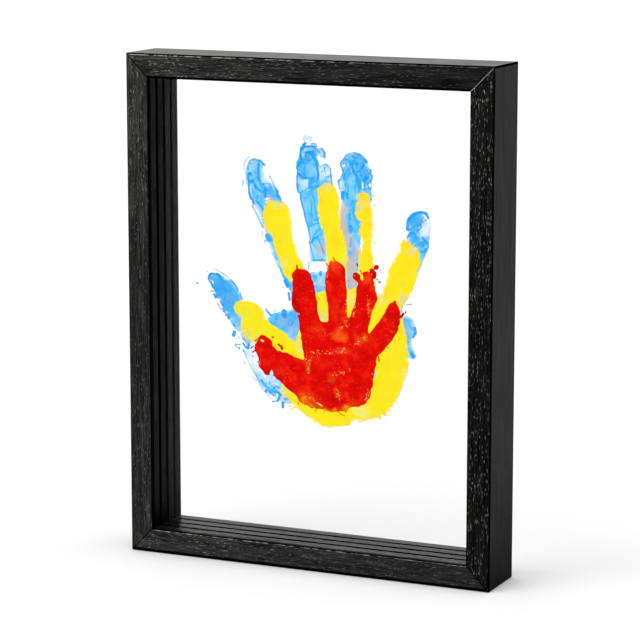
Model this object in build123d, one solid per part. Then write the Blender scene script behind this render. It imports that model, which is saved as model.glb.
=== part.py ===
from build123d import *
import os
from math import sqrt

# Baby handprint frame: a deep mitred wood frame that stands by itself and holds three clear
# panes in grooves, one behind the other, each with a painted handprint on its front face.
# The top rail lifts off its pins, and then the panes slide up out of their grooves.
# Millimetres. +Z is up, -Y is the front, and the origin is the middle of the base.

# Frame
FRAME_WIDTH = 254.0
FRAME_HEIGHT = 330.0
FRAME_DEPTH = 42.0
RAIL_FACE = 16.0          # width of the moulding, seen from the front
OUTER_ARRIS = 1.5         # rounding of the long outer edges
INNER_ARRIS = 1.2         # rounding of the long edges round the window
CORNER_EASE = 0.8         # sanding of the four outer corners
TOP_SEAM = 0.2            # gap at the two top mitres, where the top rail lifts off
SEAM_EASE = 0.35          # depth of the small V along each of the four mitres

# Panes and their grooves
PANE_NAMES = ("front_pane", "middle_pane", "back_pane")
PANE_THICKNESS = 2.5
PANE_PLAY = 0.25          # between a pane and each wall of its groove
PANE_SIDE_PLAY = 0.5      # between a pane's side edge and the floor of its groove
PANE_TOP_PLAY = 1.0       # between a pane's top edge and the floor of its groove
PANE_CORNER = 2.0         # rounding of a pane's corners
GROOVE_DEPTH = 6.0
GROOVE_SETBACK = 12.0     # from the front of the frame to the middle of the front groove
GROOVE_PITCH = 10.0
PAINT_FILM = 0.3

# Pins that guide the top rail, pressed into the stiles
PIN_DIAMETER = 4.0
PIN_DEPTH = 10.0          # below the mitre, on the pin's axis
PIN_REACH = 3.5           # above the mitre, on the pin's axis
PIN_LEAD = 0.5            # chamfer of the pin's upper end
PIN_FIT = 0.1             # radial clearance in the top rail's socket
PIN_END_PLAY = 0.5
PIN_WALL = 1.5            # wood between the pin and the grooves

# Disc magnets that hold the top rail down, set flush in the mitres
MAGNET_DIAMETER = 6.0
MAGNET_THICKNESS = 2.0
MAGNET_SPREAD = 12.0      # from the middle of the depth, each way
MAGNET_WALL = 2.0         # wood between a magnet and the grooves

# V nails that hold the bottom mitres, driven in from the back
NAIL_LEG = 5.0
NAIL_GAUGE = 0.9
NAIL_LENGTH = 10.0
NAIL_SINK = 0.3           # how far the nail's head lies below the back face
NAIL_WALL = 1.5           # wood between a nail and the grooves

# Handprints, from the middle of the pane. A finger is a stroke from its tip to its root:
# tip x, tip z, tip radius, root x, root z, root radius. The palm is drawn round its pads: x, z, radius.
RED_FINGERS = {
    "thumb": (-30.0, -25.0, 9.5, 2.0, -43.0, 11.0),
    "index": (-6.5, 22.0, 8.0, 0.0, -6.0, 7.0),
    "middle": (16.5, 31.0, 7.0, 18.5, -8.0, 6.5),
    "ring": (38.0, 25.5, 6.8, 32.0, -9.0, 6.5),
    "little": (55.5, 7.0, 5.5, 41.0, -14.0, 6.5),
}
RED_PALM = ((2.0, -14.0, 9.5), (13.0, -43.5, 15.0), (27.0, -40.5, 15.0), (36.0, -18.0, 11.0))
YELLOW_FINGERS = {
    "thumb": (-49.5, -6.0, 10.5, -18.0, -30.0, 12.0),
    "index": (-29.5, 62.0, 10.0, -11.0, 14.0, 9.0),
    "middle": (7.0, 76.0, 9.5, 14.0, 18.0, 8.5),
    "ring": (32.5, 72.5, 7.0, 34.0, 14.0, 7.0),
    "little": (62.0, 43.5, 9.0, 45.0, 2.0, 9.0),
}
YELLOW_PALM = (
    (-8.0, 12.0, 9.0), (-12.0, -42.0, 16.0), (5.0, -54.0, 18.0),
    (34.0, -50.0, 18.0), (40.0, -25.0, 23.0), (42.0, 2.0, 10.0),
)
BLUE_FINGERS = {
    "thumb": (-76.0, 13.0, 7.5, -46.0, -27.0, 12.0),
    "index": (-47.5, 88.5, 9.0, -19.0, 12.0, 9.0),
    "middle": (-8.0, 98.5, 11.0, 7.0, 11.5, 8.0),
    "ring": (21.5, 92.5, 11.0, 28.0, 14.0, 9.0),
    "little": (65.5, 60.5, 8.5, 50.0, 8.0, 9.0),
}
BLUE_PALM = (
    (-19.0, 10.0, 9.0), (-30.0, -38.0, 23.0), (12.0, -46.0, 18.0),
    (42.0, -30.0, 21.0), (48.0, 6.0, 9.0),
)
PRINTS = {
    "red_handprint": ("front_pane", RED_FINGERS, RED_PALM),
    "yellow_handprint": ("middle_pane", YELLOW_FINGERS, YELLOW_PALM),
    "blue_handprint": ("back_pane", BLUE_FINGERS, BLUE_PALM),
}

# Worked out from the sizes above
SIDES = (-1, 1)
FRONT = -FRAME_DEPTH / 2
BACK = FRAME_DEPTH / 2
GROOVE_WIDTH = PANE_THICKNESS + 2 * PANE_PLAY
GROOVE_FLOOR = RAIL_FACE - GROOVE_DEPTH
PANE_PLACES = {name: FRONT + GROOVE_SETBACK + row * GROOVE_PITCH for row, name in enumerate(PANE_NAMES)}
PANE_WIDTH = FRAME_WIDTH - 2 * (GROOVE_FLOOR + PANE_SIDE_PLAY)
PANE_HEIGHT = FRAME_HEIGHT - 2 * GROOVE_FLOOR - PANE_TOP_PLAY
PANE_MIDDLE = GROOVE_FLOOR + PANE_HEIGHT / 2
PIN_INSET = GROOVE_FLOOR - PIN_WALL - PIN_DIAMETER / 2
PIN_SEAT = FRAME_HEIGHT - PIN_INSET
MAGNET_INSET = GROOVE_FLOOR - MAGNET_WALL - MAGNET_DIAMETER / 2 / sqrt(2)
NAIL_EDGE = GROOVE_FLOOR - NAIL_WALL


def moulding(length):
    """A straight strip of the moulding along X, outer face on z = 0, with its grooves opening upwards."""
    section = Rectangle(FRAME_DEPTH, RAIL_FACE, align=(Align.CENTER, Align.MIN))
    section = fillet(section.vertices().group_by(Axis.Y)[0], OUTER_ARRIS)
    section = fillet(section.vertices().group_by(Axis.Y)[-1], INNER_ARRIS)
    for place in PANE_PLACES.values():
        section -= Pos(place, RAIL_FACE) * Rectangle(GROOVE_WIDTH, 2 * GROOVE_DEPTH)
    return extrude(Plane.YZ * section, amount=length / 2, both=True)


def mitred(length, seam=0.0):
    """A strip of the moulding with both ends sawn at 45 degrees, each short of the mitre by the seam."""
    strip = moulding(length)
    for side in SIDES:
        outward = Vector(side, 0, 1).normalized()
        heel = Vector(side * length / 2, 0, 0) - outward * seam
        strip = split(strip, bisect_by=Plane(origin=heel, z_dir=outward), keep=Keep.BOTTOM)
    return strip


def sanded_block():
    """The whole frame's outline through its depth, with the outer corners sanded."""
    outline = Pos(0, FRAME_HEIGHT / 2) * RectangleRounded(FRAME_WIDTH, FRAME_HEIGHT, CORNER_EASE)
    return extrude(Plane.XZ * outline, amount=FRAME_DEPTH / 2, both=True)


def top_mitre(side):
    """The plane of a top mitre, facing up and inwards, through the middle of the outer corner."""
    return Plane(origin=(side * FRAME_WIDTH / 2, 0, FRAME_HEIGHT), z_dir=(-side, 0, 1))


def seam_cuts():
    """The small V along each mitre, on the front and the back of the frame."""
    width = SEAM_EASE * sqrt(2)
    run = 2 * sqrt(2) * RAIL_FACE
    cuts = []
    for side in SIDES:
        for level, slope in ((0.0, 45), (FRAME_HEIGHT, -45)):
            for face in (FRONT, BACK):
                corner = Pos(side * FRAME_WIDTH / 2, face, level)
                cuts.append(corner * Rot(0, side * slope, 0) * Rot(45, 0, 0) * Box(run, width, width))
    return cuts


def pins(radial_play=0.0, end_play=0.0, lead=0.0):
    """The two locating pins, or with play the bores that take their upper ends."""
    solids = []
    for side in SIDES:
        seat = Pos(side * (FRAME_WIDTH / 2 - PIN_INSET), 0, PIN_SEAT - PIN_DEPTH)
        length = PIN_DEPTH + PIN_REACH + end_play
        pin = Cylinder(PIN_DIAMETER / 2 + radial_play, length, align=(Align.CENTER, Align.CENTER, Align.MIN))
        if lead:
            pin = chamfer(pin.edges().group_by(Axis.Z)[-1], lead)
        solids.append(seat * pin)
    return solids


def magnets(in_top_rail):
    """The disc magnets of the two top mitres, on the stiles' side or on the top rail's."""
    solids = []
    grow = Align.MIN if in_top_rail else Align.MAX
    for side in SIDES:
        mitre = top_mitre(side)
        along = Vector(-side, 0, -1) * MAGNET_INSET
        face = mitre.z_dir * (TOP_SEAM if in_top_rail else 0.0)
        for spread in SIDES:
            middle = mitre.origin + along + face + Vector(0, spread * MAGNET_SPREAD, 0)
            disc = Cylinder(MAGNET_DIAMETER / 2, MAGNET_THICKNESS, align=(Align.CENTER, Align.CENTER, grow))
            solids.append(Plane(origin=middle, z_dir=mitre.z_dir) * disc)
    return solids


def nails(head):
    """The V nails of the two bottom mitres, from their points to a head at that depth."""
    point = BACK - NAIL_SINK - NAIL_LENGTH
    tail = NAIL_EDGE - NAIL_LEG
    inner = NAIL_EDGE - NAIL_GAUGE
    chevron = Polygon(
        (NAIL_EDGE, NAIL_EDGE), (tail, NAIL_EDGE), (tail, inner),
        (inner, inner), (inner, tail), (NAIL_EDGE, tail), align=None,
    )
    left = Pos(-FRAME_WIDTH / 2, head, 0) * extrude(Plane.XZ * chevron, amount=head - point)
    return [left, mirror(left, about=Plane.YZ)]


def pane(place):
    """A clear pane, standing on the floor of its bottom groove."""
    outline = Pos(0, PANE_MIDDLE) * RectangleRounded(PANE_WIDTH, PANE_HEIGHT, PANE_CORNER)
    return Pos(0, place, 0) * extrude(Plane.XZ * outline, amount=PANE_THICKNESS / 2, both=True)


def round_hull(circles):
    """The outline of a band stretched round circles, each given as x, z and radius."""
    return make_hull([edge for x, z, radius in circles for edge in (Pos(x, z) * Circle(radius)).edges()])


def handprint(place, fingers, palm):
    """A film of paint on the front face of the pane at that depth."""
    outline = round_hull(palm)
    for tip_x, tip_z, tip_radius, root_x, root_z, root_radius in fingers.values():
        outline += round_hull([(tip_x, tip_z, tip_radius), (root_x, root_z, root_radius)])
    film = extrude(Plane.XZ * outline, amount=PAINT_FILM)
    return Pos(0, place - PANE_THICKNESS / 2, PANE_MIDDLE) * film


def wood_members():
    """The four members of the frame, sawn, sanded and bored."""
    members = {
        "bottom_rail": mitred(FRAME_WIDTH),
        "left_stile": Pos(-FRAME_WIDTH / 2, 0, FRAME_HEIGHT / 2) * Rot(0, 90, 0) * mitred(FRAME_HEIGHT),
        "right_stile": Pos(FRAME_WIDTH / 2, 0, FRAME_HEIGHT / 2) * Rot(0, -90, 0) * mitred(FRAME_HEIGHT),
        "top_rail": Pos(0, 0, FRAME_HEIGHT) * Rot(0, 180, 0) * mitred(FRAME_WIDTH, TOP_SEAM),
    }
    block = sanded_block()
    for name in members:
        members[name] = (members[name] & block) - seam_cuts()
    for name in ("left_stile", "right_stile"):
        members[name] -= pins() + magnets(in_top_rail=False) + nails(head=BACK)
    members["bottom_rail"] -= nails(head=BACK)
    members["top_rail"] -= pins(PIN_FIT, PIN_END_PLAY) + magnets(in_top_rail=True)
    return members


def assembly():
    """Every piece of the frame, by name. Fasteners that are alike share a name."""
    pieces = wood_members()
    pieces["v_nails"] = Compound(children=nails(head=BACK - NAIL_SINK))
    pieces["locating_pins"] = Compound(children=pins(lead=PIN_LEAD))
    pieces["stile_magnets"] = Compound(children=magnets(in_top_rail=False))
    pieces["top_rail_magnets"] = Compound(children=magnets(in_top_rail=True))
    for name, place in PANE_PLACES.items():
        pieces[name] = pane(place)
    for name, (carrier, fingers, palm) in PRINTS.items():
        pieces[name] = handprint(PANE_PLACES[carrier], fingers, palm)
    return pieces


os.makedirs("parts", exist_ok=True)
for node, shape in assembly().items():
    export_step(shape, f"parts/{node}.step")
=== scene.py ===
"""Looks of the baby handprint frame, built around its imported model.

The rails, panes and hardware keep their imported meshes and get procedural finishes. The three
handprints are made again as dried films of paint, each on its own pane, with loose drops beside
them. A white studio with the photograph's camera stands round the object.
"""

import logging
import math
from collections.abc import Callable
from dataclasses import dataclass, field
from enum import Enum
from typing import Any, NamedTuple

import bpy
import numpy as np
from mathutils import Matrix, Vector

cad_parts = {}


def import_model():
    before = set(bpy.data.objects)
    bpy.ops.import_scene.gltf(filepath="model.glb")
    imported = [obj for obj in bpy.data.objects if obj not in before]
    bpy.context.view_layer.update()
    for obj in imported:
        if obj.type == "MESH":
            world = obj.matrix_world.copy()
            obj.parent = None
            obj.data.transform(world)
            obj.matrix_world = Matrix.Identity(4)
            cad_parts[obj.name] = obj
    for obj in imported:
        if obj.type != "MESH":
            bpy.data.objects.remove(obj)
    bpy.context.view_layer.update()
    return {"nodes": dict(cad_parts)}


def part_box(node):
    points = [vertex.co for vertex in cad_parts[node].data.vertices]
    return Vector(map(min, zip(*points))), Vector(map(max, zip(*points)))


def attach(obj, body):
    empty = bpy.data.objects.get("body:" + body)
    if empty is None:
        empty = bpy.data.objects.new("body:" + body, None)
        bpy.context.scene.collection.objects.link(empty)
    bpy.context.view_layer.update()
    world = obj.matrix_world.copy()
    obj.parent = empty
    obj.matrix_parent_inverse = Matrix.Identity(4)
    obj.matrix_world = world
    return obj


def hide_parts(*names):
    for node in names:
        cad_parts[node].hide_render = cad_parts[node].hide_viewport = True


LOG = logging.getLogger("handprint_frame")
MM = 0.001


class Grain(Enum):
    """The axis that a piece of wood's grain runs along."""

    ALONG_RAIL = 0
    ALONG_STILE = 2


class Pad(NamedTuple):
    """A round dab of paint: its middle across and up, and its radius, in mm."""

    x: float
    z: float
    r: float


class Patch(NamedTuple):
    """A soft round change in a film: its middle, its reach in mm, and how much it adds."""

    x: float
    z: float
    reach: float
    amount: float


class Stroke(NamedTuple):
    """A thin line of paint: its half width and points, in mm, and how rich and solid it dried."""

    half: float
    points: tuple[tuple[float, float], ...]
    tone: float = 1.0
    cover: float = 0.9


Tree = bpy.types.NodeTree
Socket = bpy.types.NodeSocket
Sockets = dict[str, Socket]
Pair = tuple[float, float]
Array = np.ndarray
Chain = tuple[Pad, ...]
Field = Callable[[Array, Array], Array]

# Kinds of node that several finishes use, and their settings
MATH = "ShaderNodeMath"
VECTOR_MATH = "ShaderNodeVectorMath"
MAP_RANGE = "ShaderNodeMapRange"
MIX = "ShaderNodeMix"
NOISE = "ShaderNodeTexNoise"
AXIS = "ShaderNodeSeparateXYZ"
TIMES = {"operation": "MULTIPLY"}
TIMES_PLUS = {"operation": "MULTIPLY_ADD", "use_clamp": True}
PLUS = {"operation": "ADD", "use_clamp": True}
LESS = {"operation": "SUBTRACT", "use_clamp": True}
LARGER = {"operation": "MAXIMUM"}
ABOVE = {"operation": "GREATER_THAN"}
BELOW = {"operation": "LESS_THAN"}
CLOSE_TO = {"operation": "COMPARE"}
UNSIGNED = {"operation": "ABSOLUTE"}
SMOOTH = {"interpolation_type": "SMOOTHSTEP"}
COLOUR = {"data_type": "RGBA"}
WHITE = (1.0, 1.0, 1.0, 1.0)


def linear(code: str) -> tuple[float, float, float, float]:
    """Turn an sRGB hex value into a linear colour.

    Args:
        code: The colour as "#rrggbb".

    Returns:
        Red, green, blue and an alpha of 1.
    """
    parts = [int(code[i : i + 2], 16) / 255 for i in (1, 3, 5)]
    return (*[c / 12.92 if c <= 0.04045 else ((c + 0.055) / 1.055) ** 2.4 for c in parts], 1.0)


def add(
    tree: Tree,
    kind: str,
    settings: dict[str, Any] | None = None,
    out: str = "",
    **sockets: Any,
) -> Socket | None:
    """Add a node with its settings and links.

    Args:
        tree: The tree that gets the node.
        kind: The node's type name.
        settings: Properties of the node itself.
        out: The identifier of the output to give back; the first enabled one if empty.
        sockets: A value or an output for each input, by its identifier, with _ for a space.

    Returns:
        The asked output of the new node, or None for a node without outputs.
    """
    node = tree.nodes.new(kind)
    for key, value in (settings or {}).items():
        setattr(node, key, value)
    inputs = {socket.identifier.replace(" ", "_"): socket for socket in node.inputs}
    for key, value in sockets.items():
        if isinstance(value, Socket):
            tree.links.new(value, inputs[key])
        else:
            inputs[key].default_value = value
    return next((s for s in node.outputs if s.enabled and out in ("", s.identifier)), None)


def new_material(name: str) -> tuple[bpy.types.Material, Tree]:
    """Make an empty node material.

    Args:
        name: The material's name.

    Returns:
        The material and its tree, with no nodes in it.
    """
    material = bpy.data.materials.new(name)
    material.use_nodes = True
    material.node_tree.nodes.clear()
    return material, material.node_tree


def dress(node: bpy.types.Object, material: bpy.types.Material) -> None:
    """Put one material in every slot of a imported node's object."""
    for slot in node.material_slots:
        slot.material = material


@dataclass(frozen=True)
class BrushedBlackWood:
    """Ash moulding, wire-brushed along the grain, stained near-black and left satin.

    Brushing opens the pores, so the front and back show fine grey lines along the grain and short
    pale dashes, staggered from line to line; the dashes are partly pale pores and partly painted glints
    where brushed ridges catch the light. The planed faces are only streaked, and shine grey in broad
    bands where they are seen at a low angle. Painted shade darkens the arrises, a rail's foot and a
    length's tip, and beside the grooves and on the front and the foot of an inner face where it says so.
    Painted light makes each length slowly lighter or darker along it, and painted shade may darken the
    planed faces towards the foot. A thin line on the upper arrises is pale in places, partly rubbed and
    partly a painted highlight, and the back arrises carry a faint painted highlight. A seam, given by
    its facet's normal across and up, shows a pale line along one mitre, partly bare wood and partly a
    painted highlight.
    """

    name: str
    grain: Grain
    shift: float
    inward: tuple[float, float, float]

    # Colours: the stain and its streaks, the pale dashes, the painted shade, the pale wood and painted
    # highlights, and how much paler the streaks are on a planed face
    ground: str = "#0a0a0a"
    streak: str = "#353534"
    planed: str = "#0f0f0f"
    planed_swing: float = 1.5
    fleck: str = "#b0aca6"
    shade_tint: str = "#040404"
    bare: str = "#aaa69f"

    # Shine: its level, its swing from band to band, and the share of it that painted shade keeps
    ior: float = 1.45
    roughness: Pair = (0.2, 0.42)
    sheen: float = 0.085
    shine_swing: Pair = (0.1, 1.8)
    shaded_shine: float = 0.1

    # Painted light: how much lighter or darker the brushed faces are at the start, the middle and the end of
    # a length
    light_along: tuple[float, float, float] = (1.0, 1.0, 1.0)
    # Painted shade on the planed faces: how far above the foot it reaches, in mm, and the share of colour and
    # shine left at the foot
    low_shade: Pair = (1.0, 1.0)
    # Painted shade: where it lies, in mm, and how dark it is on the front and the foot of an inner face
    foot_shade: float = 0.0
    dark_tip: float = 1.2
    groove_shade: float = 1.6
    first_groove: float = -9.0
    groove_pitch: float = 10.0
    groove_shade_end: float = 14.0
    front_shade: float = 0.0
    front_edge: float = 0.5
    corner_shade: float = 0.9
    corner_shade_foot: float = 16.0
    corner_shade_top: float = 60.0

    # The pale line on the upper arrises, partly rubbed and partly a painted highlight, the painted highlight
    # on the back arrises, and the seam: depths and widths in mm, and shares
    rub_and_highlight_line: Pair = (20.93, 0.05)
    back_arris: float = 19.4
    back_rim_light: float = 0.12
    bare_and_lit_seam: Pair | None = None

    # Lengths along the grain and widths of the patterns, in mm, and the stretch of each noise that shows
    streak_size: Pair = (18.0, 0.6)
    streak_range: Pair = (0.4, 0.68)
    gloss_range: Pair = (0.3, 0.7)
    band_size: Pair = (40.0, 5.0)
    band_range: Pair = (0.3, 0.65)
    band_low: float = 0.35
    row_size: Pair = (18.0, 0.5)
    row_range: Pair = (0.42, 0.62)
    worn_size: Pair = (6.0, 2.0)
    worn_range: Pair = (0.44, 0.62)
    dash_size: Pair = (3.0, 0.5)
    dash_reach: Pair = (0.1, 0.36)
    dash_share: float = 0.34
    dash_stagger: float = 14.0
    dash_relief: float = 0.4
    relief: float = 0.12
    relief_share: Pair = (0.06, 0.2)

    # What tells the faces apart: a depth in mm, and shares of a face's normal
    face_depth: float = 20.0
    front_turn: Pair = (0.85, 0.97)
    arris_turn: Pair = (0.15, 0.4)
    inner_turn: float = 0.9
    tip_turn: float = 0.3
    upper_turn: float = 0.15
    level_turn: float = 0.2
    seam_turn: float = 0.12

    def scale(self, size: Pair) -> Vector:
        """Give the mapping scale that stretches a pattern along the grain.

        Args:
            size: The pattern's length along the grain and its width, in mm.

        Returns:
            The scale on each axis.
        """
        across = 1 / (size[1] * MM)
        scale = Vector((across, across, across))
        scale[self.grain.value] = 1 / (size[0] * MM)
        return scale

    def noises(self, tree: Tree, place: Socket) -> Sockets:
        """Lay the noises along the grain, each from a start of its own.

        Args:
            tree: The material's tree.
            place: Object coordinates.

        Returns:
            The noise of the streaks, the bands, the rows of pores and the worn places, by name.
        """
        sizes = {
            "streak": self.streak_size,
            "band": self.band_size,
            "row": self.row_size,
            "rub_and_highlight": self.worn_size,
        }
        noise = {}
        for number, (name, size) in enumerate(sizes.items(), start=1):
            start = Vector((self.shift, self.shift, self.shift)) * number
            laid = add(tree, "ShaderNodeMapping", Vector=place, Location=start, Scale=self.scale(size))
            noise[name] = add(tree, NOISE, Vector=laid, Scale=1.0, Detail=2.0, Roughness=0.6)
        return noise

    def faces(self, tree: Tree, spot: Sockets, side: Sockets) -> tuple[Socket, Socket, Socket]:
        """Tell the brushed faces and the arrises from the planed faces.

        Args:
            tree: The material's tree.
            spot: The place on each axis.
            side: The normal on each axis.

        Returns:
            How much of a brushed face, of an arris or tip darkened by painted shade, and of a back arris,
            which gets a painted highlight, each place is.
        """
        turned = add(tree, MATH, UNSIGNED, Value=side["Y"])
        far = add(tree, MATH, UNSIGNED, Value=spot["Y"])
        outside = add(tree, MATH, ABOVE, Value=far, Value_001=self.face_depth * MM)
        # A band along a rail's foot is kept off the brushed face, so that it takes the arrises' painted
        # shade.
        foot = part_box(self.name)[0].z + self.foot_shade * MM
        clear = add(tree, MATH, ABOVE, Value=spot["Z"], Value_001=foot)
        low, high = self.front_turn
        brushed = add(tree, MAP_RANGE, Value=turned, From_Min=low, From_Max=high)
        for part in (outside, clear):
            brushed = add(tree, MATH, TIMES, Value=brushed, Value_001=part)

        low, high = self.arris_turn
        arris = add(tree, MAP_RANGE, Value=turned, From_Min=low, From_Max=high)
        arris = add(tree, MATH, LESS, Value=arris, Value_001=brushed)
        # Back arrises get a faint painted highlight, the rim that the back light draws.
        behind = add(tree, MATH, ABOVE, Value=spot["Y"], Value_001=self.back_arris * MM)
        back_rim = add(tree, MATH, TIMES, Value=arris, Value_001=behind)
        arris = add(tree, MATH, LESS, Value=arris, Value_001=behind)

        # A length's tip, on faces turned sideways, takes the same painted shade.
        axis = self.grain.value
        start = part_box(self.name)[1][axis] - self.dark_tip * MM
        tip = add(tree, MATH, ABOVE, Value=spot["XYZ"[axis]], Value_001=start)
        aside = add(tree, MATH, UNSIGNED, Value=side["X"])
        aside = add(tree, MATH, ABOVE, Value=aside, Value_001=self.tip_turn)
        tip = add(tree, MATH, TIMES, Value=tip, Value_001=aside)
        return brushed, add(tree, MATH, LARGER, Value=arris, Value_001=tip), back_rim

    def inner_shade(self, tree: Tree, spot: Sockets, facing: Socket) -> Socket:
        """Find the painted shade on an inner face.

        Args:
            tree: The material's tree.
            spot: The place on each axis.
            facing: The normal.

        Returns:
            How much painted shade lies beside the grooves, and on the front and the foot where it says so.
        """
        inner = add(
            tree, VECTOR_MATH, {"operation": "DOT_PRODUCT"}, out="Value",
            Vector=facing, Vector_001=self.inward,
        )
        inner = add(tree, MATH, ABOVE, Value=inner, Value_001=self.inner_turn)
        # Painted shade along both sides of each groove, as far back as the last one.
        first, half = self.first_groove * MM, self.groove_pitch / 2 * MM
        away = add(tree, MATH, {"operation": "SUBTRACT"}, Value=spot["Y"], Value_001=first)
        away = add(tree, MATH, {"operation": "PINGPONG"}, Value=away, Value_001=half)
        inner_shade = add(tree, MATH, BELOW, Value=away, Value_001=self.groove_shade * MM)
        ahead = add(tree, MATH, BELOW, Value=spot["Y"], Value_001=self.groove_shade_end * MM)
        inner_shade = add(tree, MATH, TIMES, Value=inner_shade, Value_001=ahead)
        if self.front_shade:
            near = add(
                tree, MAP_RANGE, Value=spot["Y"], From_Min=-self.front_edge * MM,
                From_Max=self.front_edge * MM, To_Min=self.front_shade, To_Max=0.0,
            )
            low = add(
                tree, MAP_RANGE, Value=spot["Z"], From_Min=self.corner_shade_foot * MM,
                From_Max=self.corner_shade_top * MM, To_Min=self.corner_shade, To_Max=0.0,
            )
            for other in (near, low):
                inner_shade = add(tree, MATH, LARGER, Value=inner_shade, Value_001=other)
        return add(tree, MATH, TIMES, Value=inner, Value_001=inner_shade)

    def painted_light_along(self, tree: Tree, spot: Sockets) -> Socket:
        """Find the painted light, which makes a length slowly lighter or darker along it.

        Args:
            tree: The material's tree.
            spot: The place on each axis.

        Returns:
            What the colour is multiplied by at each place.
        """
        axis = self.grain.value
        start, end = (corner[axis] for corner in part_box(self.name))
        middle = (start + end) / 2
        first = add(
            tree, MAP_RANGE, Value=spot["XYZ"[axis]], From_Min=start, From_Max=middle,
            To_Min=self.light_along[0], To_Max=self.light_along[1],
        )
        later = add(
            tree, MAP_RANGE, Value=spot["XYZ"[axis]], From_Min=middle, From_Max=end,
            To_Min=1.0, To_Max=self.light_along[2] / self.light_along[1],
        )
        return add(tree, MATH, TIMES, Value=first, Value_001=later)

    def rub_and_highlight(self, tree: Tree, spot: Sockets, side: Sockets, shares: tuple[Socket, Socket, Socket]) -> Socket:
        """Find the pale line on the upper arrises, partly rubbed and partly a painted highlight.

        Args:
            tree: The material's tree.
            spot: The place on each axis.
            side: The normal on each axis.
            shares: The noise of the pale places, the painted light along the length, and the back arrises'
                painted highlight.

        Returns:
            How much pale wood and painted highlight there is at each place.
        """
        chance, pale, back_rim = shares
        low, high = self.worn_range
        rub_and_highlight = add(tree, MAP_RANGE, Value=chance, From_Min=low, From_Max=high)
        far = add(tree, MATH, UNSIGNED, Value=spot["Y"])
        line, width = self.rub_and_highlight_line
        on_line = add(tree, MATH, CLOSE_TO, Value=far, Value_001=line * MM, Value_002=width * MM)
        # Only arrises that face up get the line: a painted highlight where the light falls from above.
        upward = add(tree, MATH, ABOVE, Value=side["Z"], Value_001=self.upper_turn)
        level = add(tree, MATH, CLOSE_TO, Value=side["X"], Value_001=0.0, Value_002=self.level_turn)
        for part in (on_line, upward, level):
            rub_and_highlight = add(tree, MATH, TIMES, Value=rub_and_highlight, Value_001=part)
        # The line is paler where the painted light along the length is brighter.
        rub_and_highlight = add(tree, MATH, {**TIMES, "use_clamp": True}, Value=rub_and_highlight, Value_001=pale)
        # The back arrises' painted highlight is added on.
        return add(tree, MATH, TIMES_PLUS, Value=back_rim, Value_001=self.back_rim_light, Value_002=rub_and_highlight)

    def dashes(self, tree: Tree, spot: Sockets, row: Socket) -> Socket:
        """Scatter short pale dashes along the grain, partly open pores and partly painted glints where
        brushed ridges catch the light, as wide as the picture can show.

        Args:
            tree: The material's tree.
            spot: The place on each axis.
            row: Noise drawn out into long lines along the grain, which the dashes follow a little.

        Returns:
            How much of a dash is at each place.
        """
        ways = "XZ" if self.grain is Grain.ALONG_RAIL else "ZX"
        along, across = (spot[way] for way in ways)
        # Neighbouring lines of pores are staggered, so that the dashes never lie in rows across the grain.
        along = add(
            tree, MATH, {"operation": "MULTIPLY_ADD"}, Value=row,
            Value_001=self.dash_stagger * MM, Value_002=along,
        )
        flat = add(tree, "ShaderNodeCombineXYZ", X=along, Y=across)
        start = (self.shift, self.shift, 0.0)
        scale = (*(1 / (size * MM) for size in self.dash_size), 1.0)
        flat = add(tree, "ShaderNodeMapping", Vector=flat, Location=start, Scale=scale)
        spread = {"voronoi_dimensions": "2D"}
        away = add(tree, "ShaderNodeTexVoronoi", spread, out="Distance", Vector=flat, Scale=1.0)
        own = add(tree, "ShaderNodeTexVoronoi", spread, out="Color", Vector=flat, Scale=1.0)
        own = add(tree, AXIS, out="X", Vector=own)
        inner, outer = self.dash_reach
        dash = add(tree, MAP_RANGE, Value=away, From_Min=outer, From_Max=inner)
        pale = add(tree, MAP_RANGE, Value=own, From_Min=1 - self.dash_share, From_Max=1.0)
        low, high = self.row_range
        line = add(tree, MAP_RANGE, Value=row, From_Min=low, From_Max=high)
        for part in (pale, line):
            dash = add(tree, MATH, TIMES, Value=dash, Value_001=part)
        return dash

    def seam(self, tree: Tree, side: Sockets, facet: Pair) -> Socket:
        """Find the facet of the seam, which is partly bare wood and partly a painted highlight.

        Args:
            tree: The material's tree.
            side: The normal on each axis.
            facet: The seam's normal across and up.

        Returns:
            1 on the facet and 0 elsewhere.
        """
        across, up = (
            add(tree, MATH, CLOSE_TO, Value=side[axis], Value_001=way, Value_002=self.seam_turn)
            for axis, way in zip("XZ", facet)
        )
        return add(tree, MATH, TIMES, Value=across, Value_001=up)

    def material(self) -> bpy.types.Material:
        """Build the finish.

        Returns:
            The material, for wood whose grain runs along the set axis.
        """
        material, tree = new_material(f"brushed_black_ash_{self.name}")
        place = add(tree, "ShaderNodeTexCoord", out="Object")
        facing = add(tree, "ShaderNodeNewGeometry", out="Normal")
        spot, side = (
            {axis: add(tree, AXIS, out=axis, Vector=vector) for axis in "XYZ"}
            for vector in (place, facing)
        )
        noise = self.noises(tree, place)
        brushed, arris, back_rim = self.faces(tree, spot, side)
        # Painted shade on the inner faces, darkening their colour and their shine.
        inner_shade = self.inner_shade(tree, spot, facing)
        # Painted light along the length.
        pale = self.painted_light_along(tree, spot)
        # Painted shade on the planed faces, darker towards the foot, on colour and shine.
        reach, left = self.low_shade
        low_shade = add(tree, MAP_RANGE, Value=spot["Z"], From_Max=reach * MM, To_Min=left)
        dashes = self.dashes(tree, spot, noise["row"])
        dashes = add(tree, MATH, TIMES, Value=dashes, Value_001=brushed)
        rub_and_highlight = self.rub_and_highlight(tree, spot, side, (noise["rub_and_highlight"], pale, back_rim))

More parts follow.
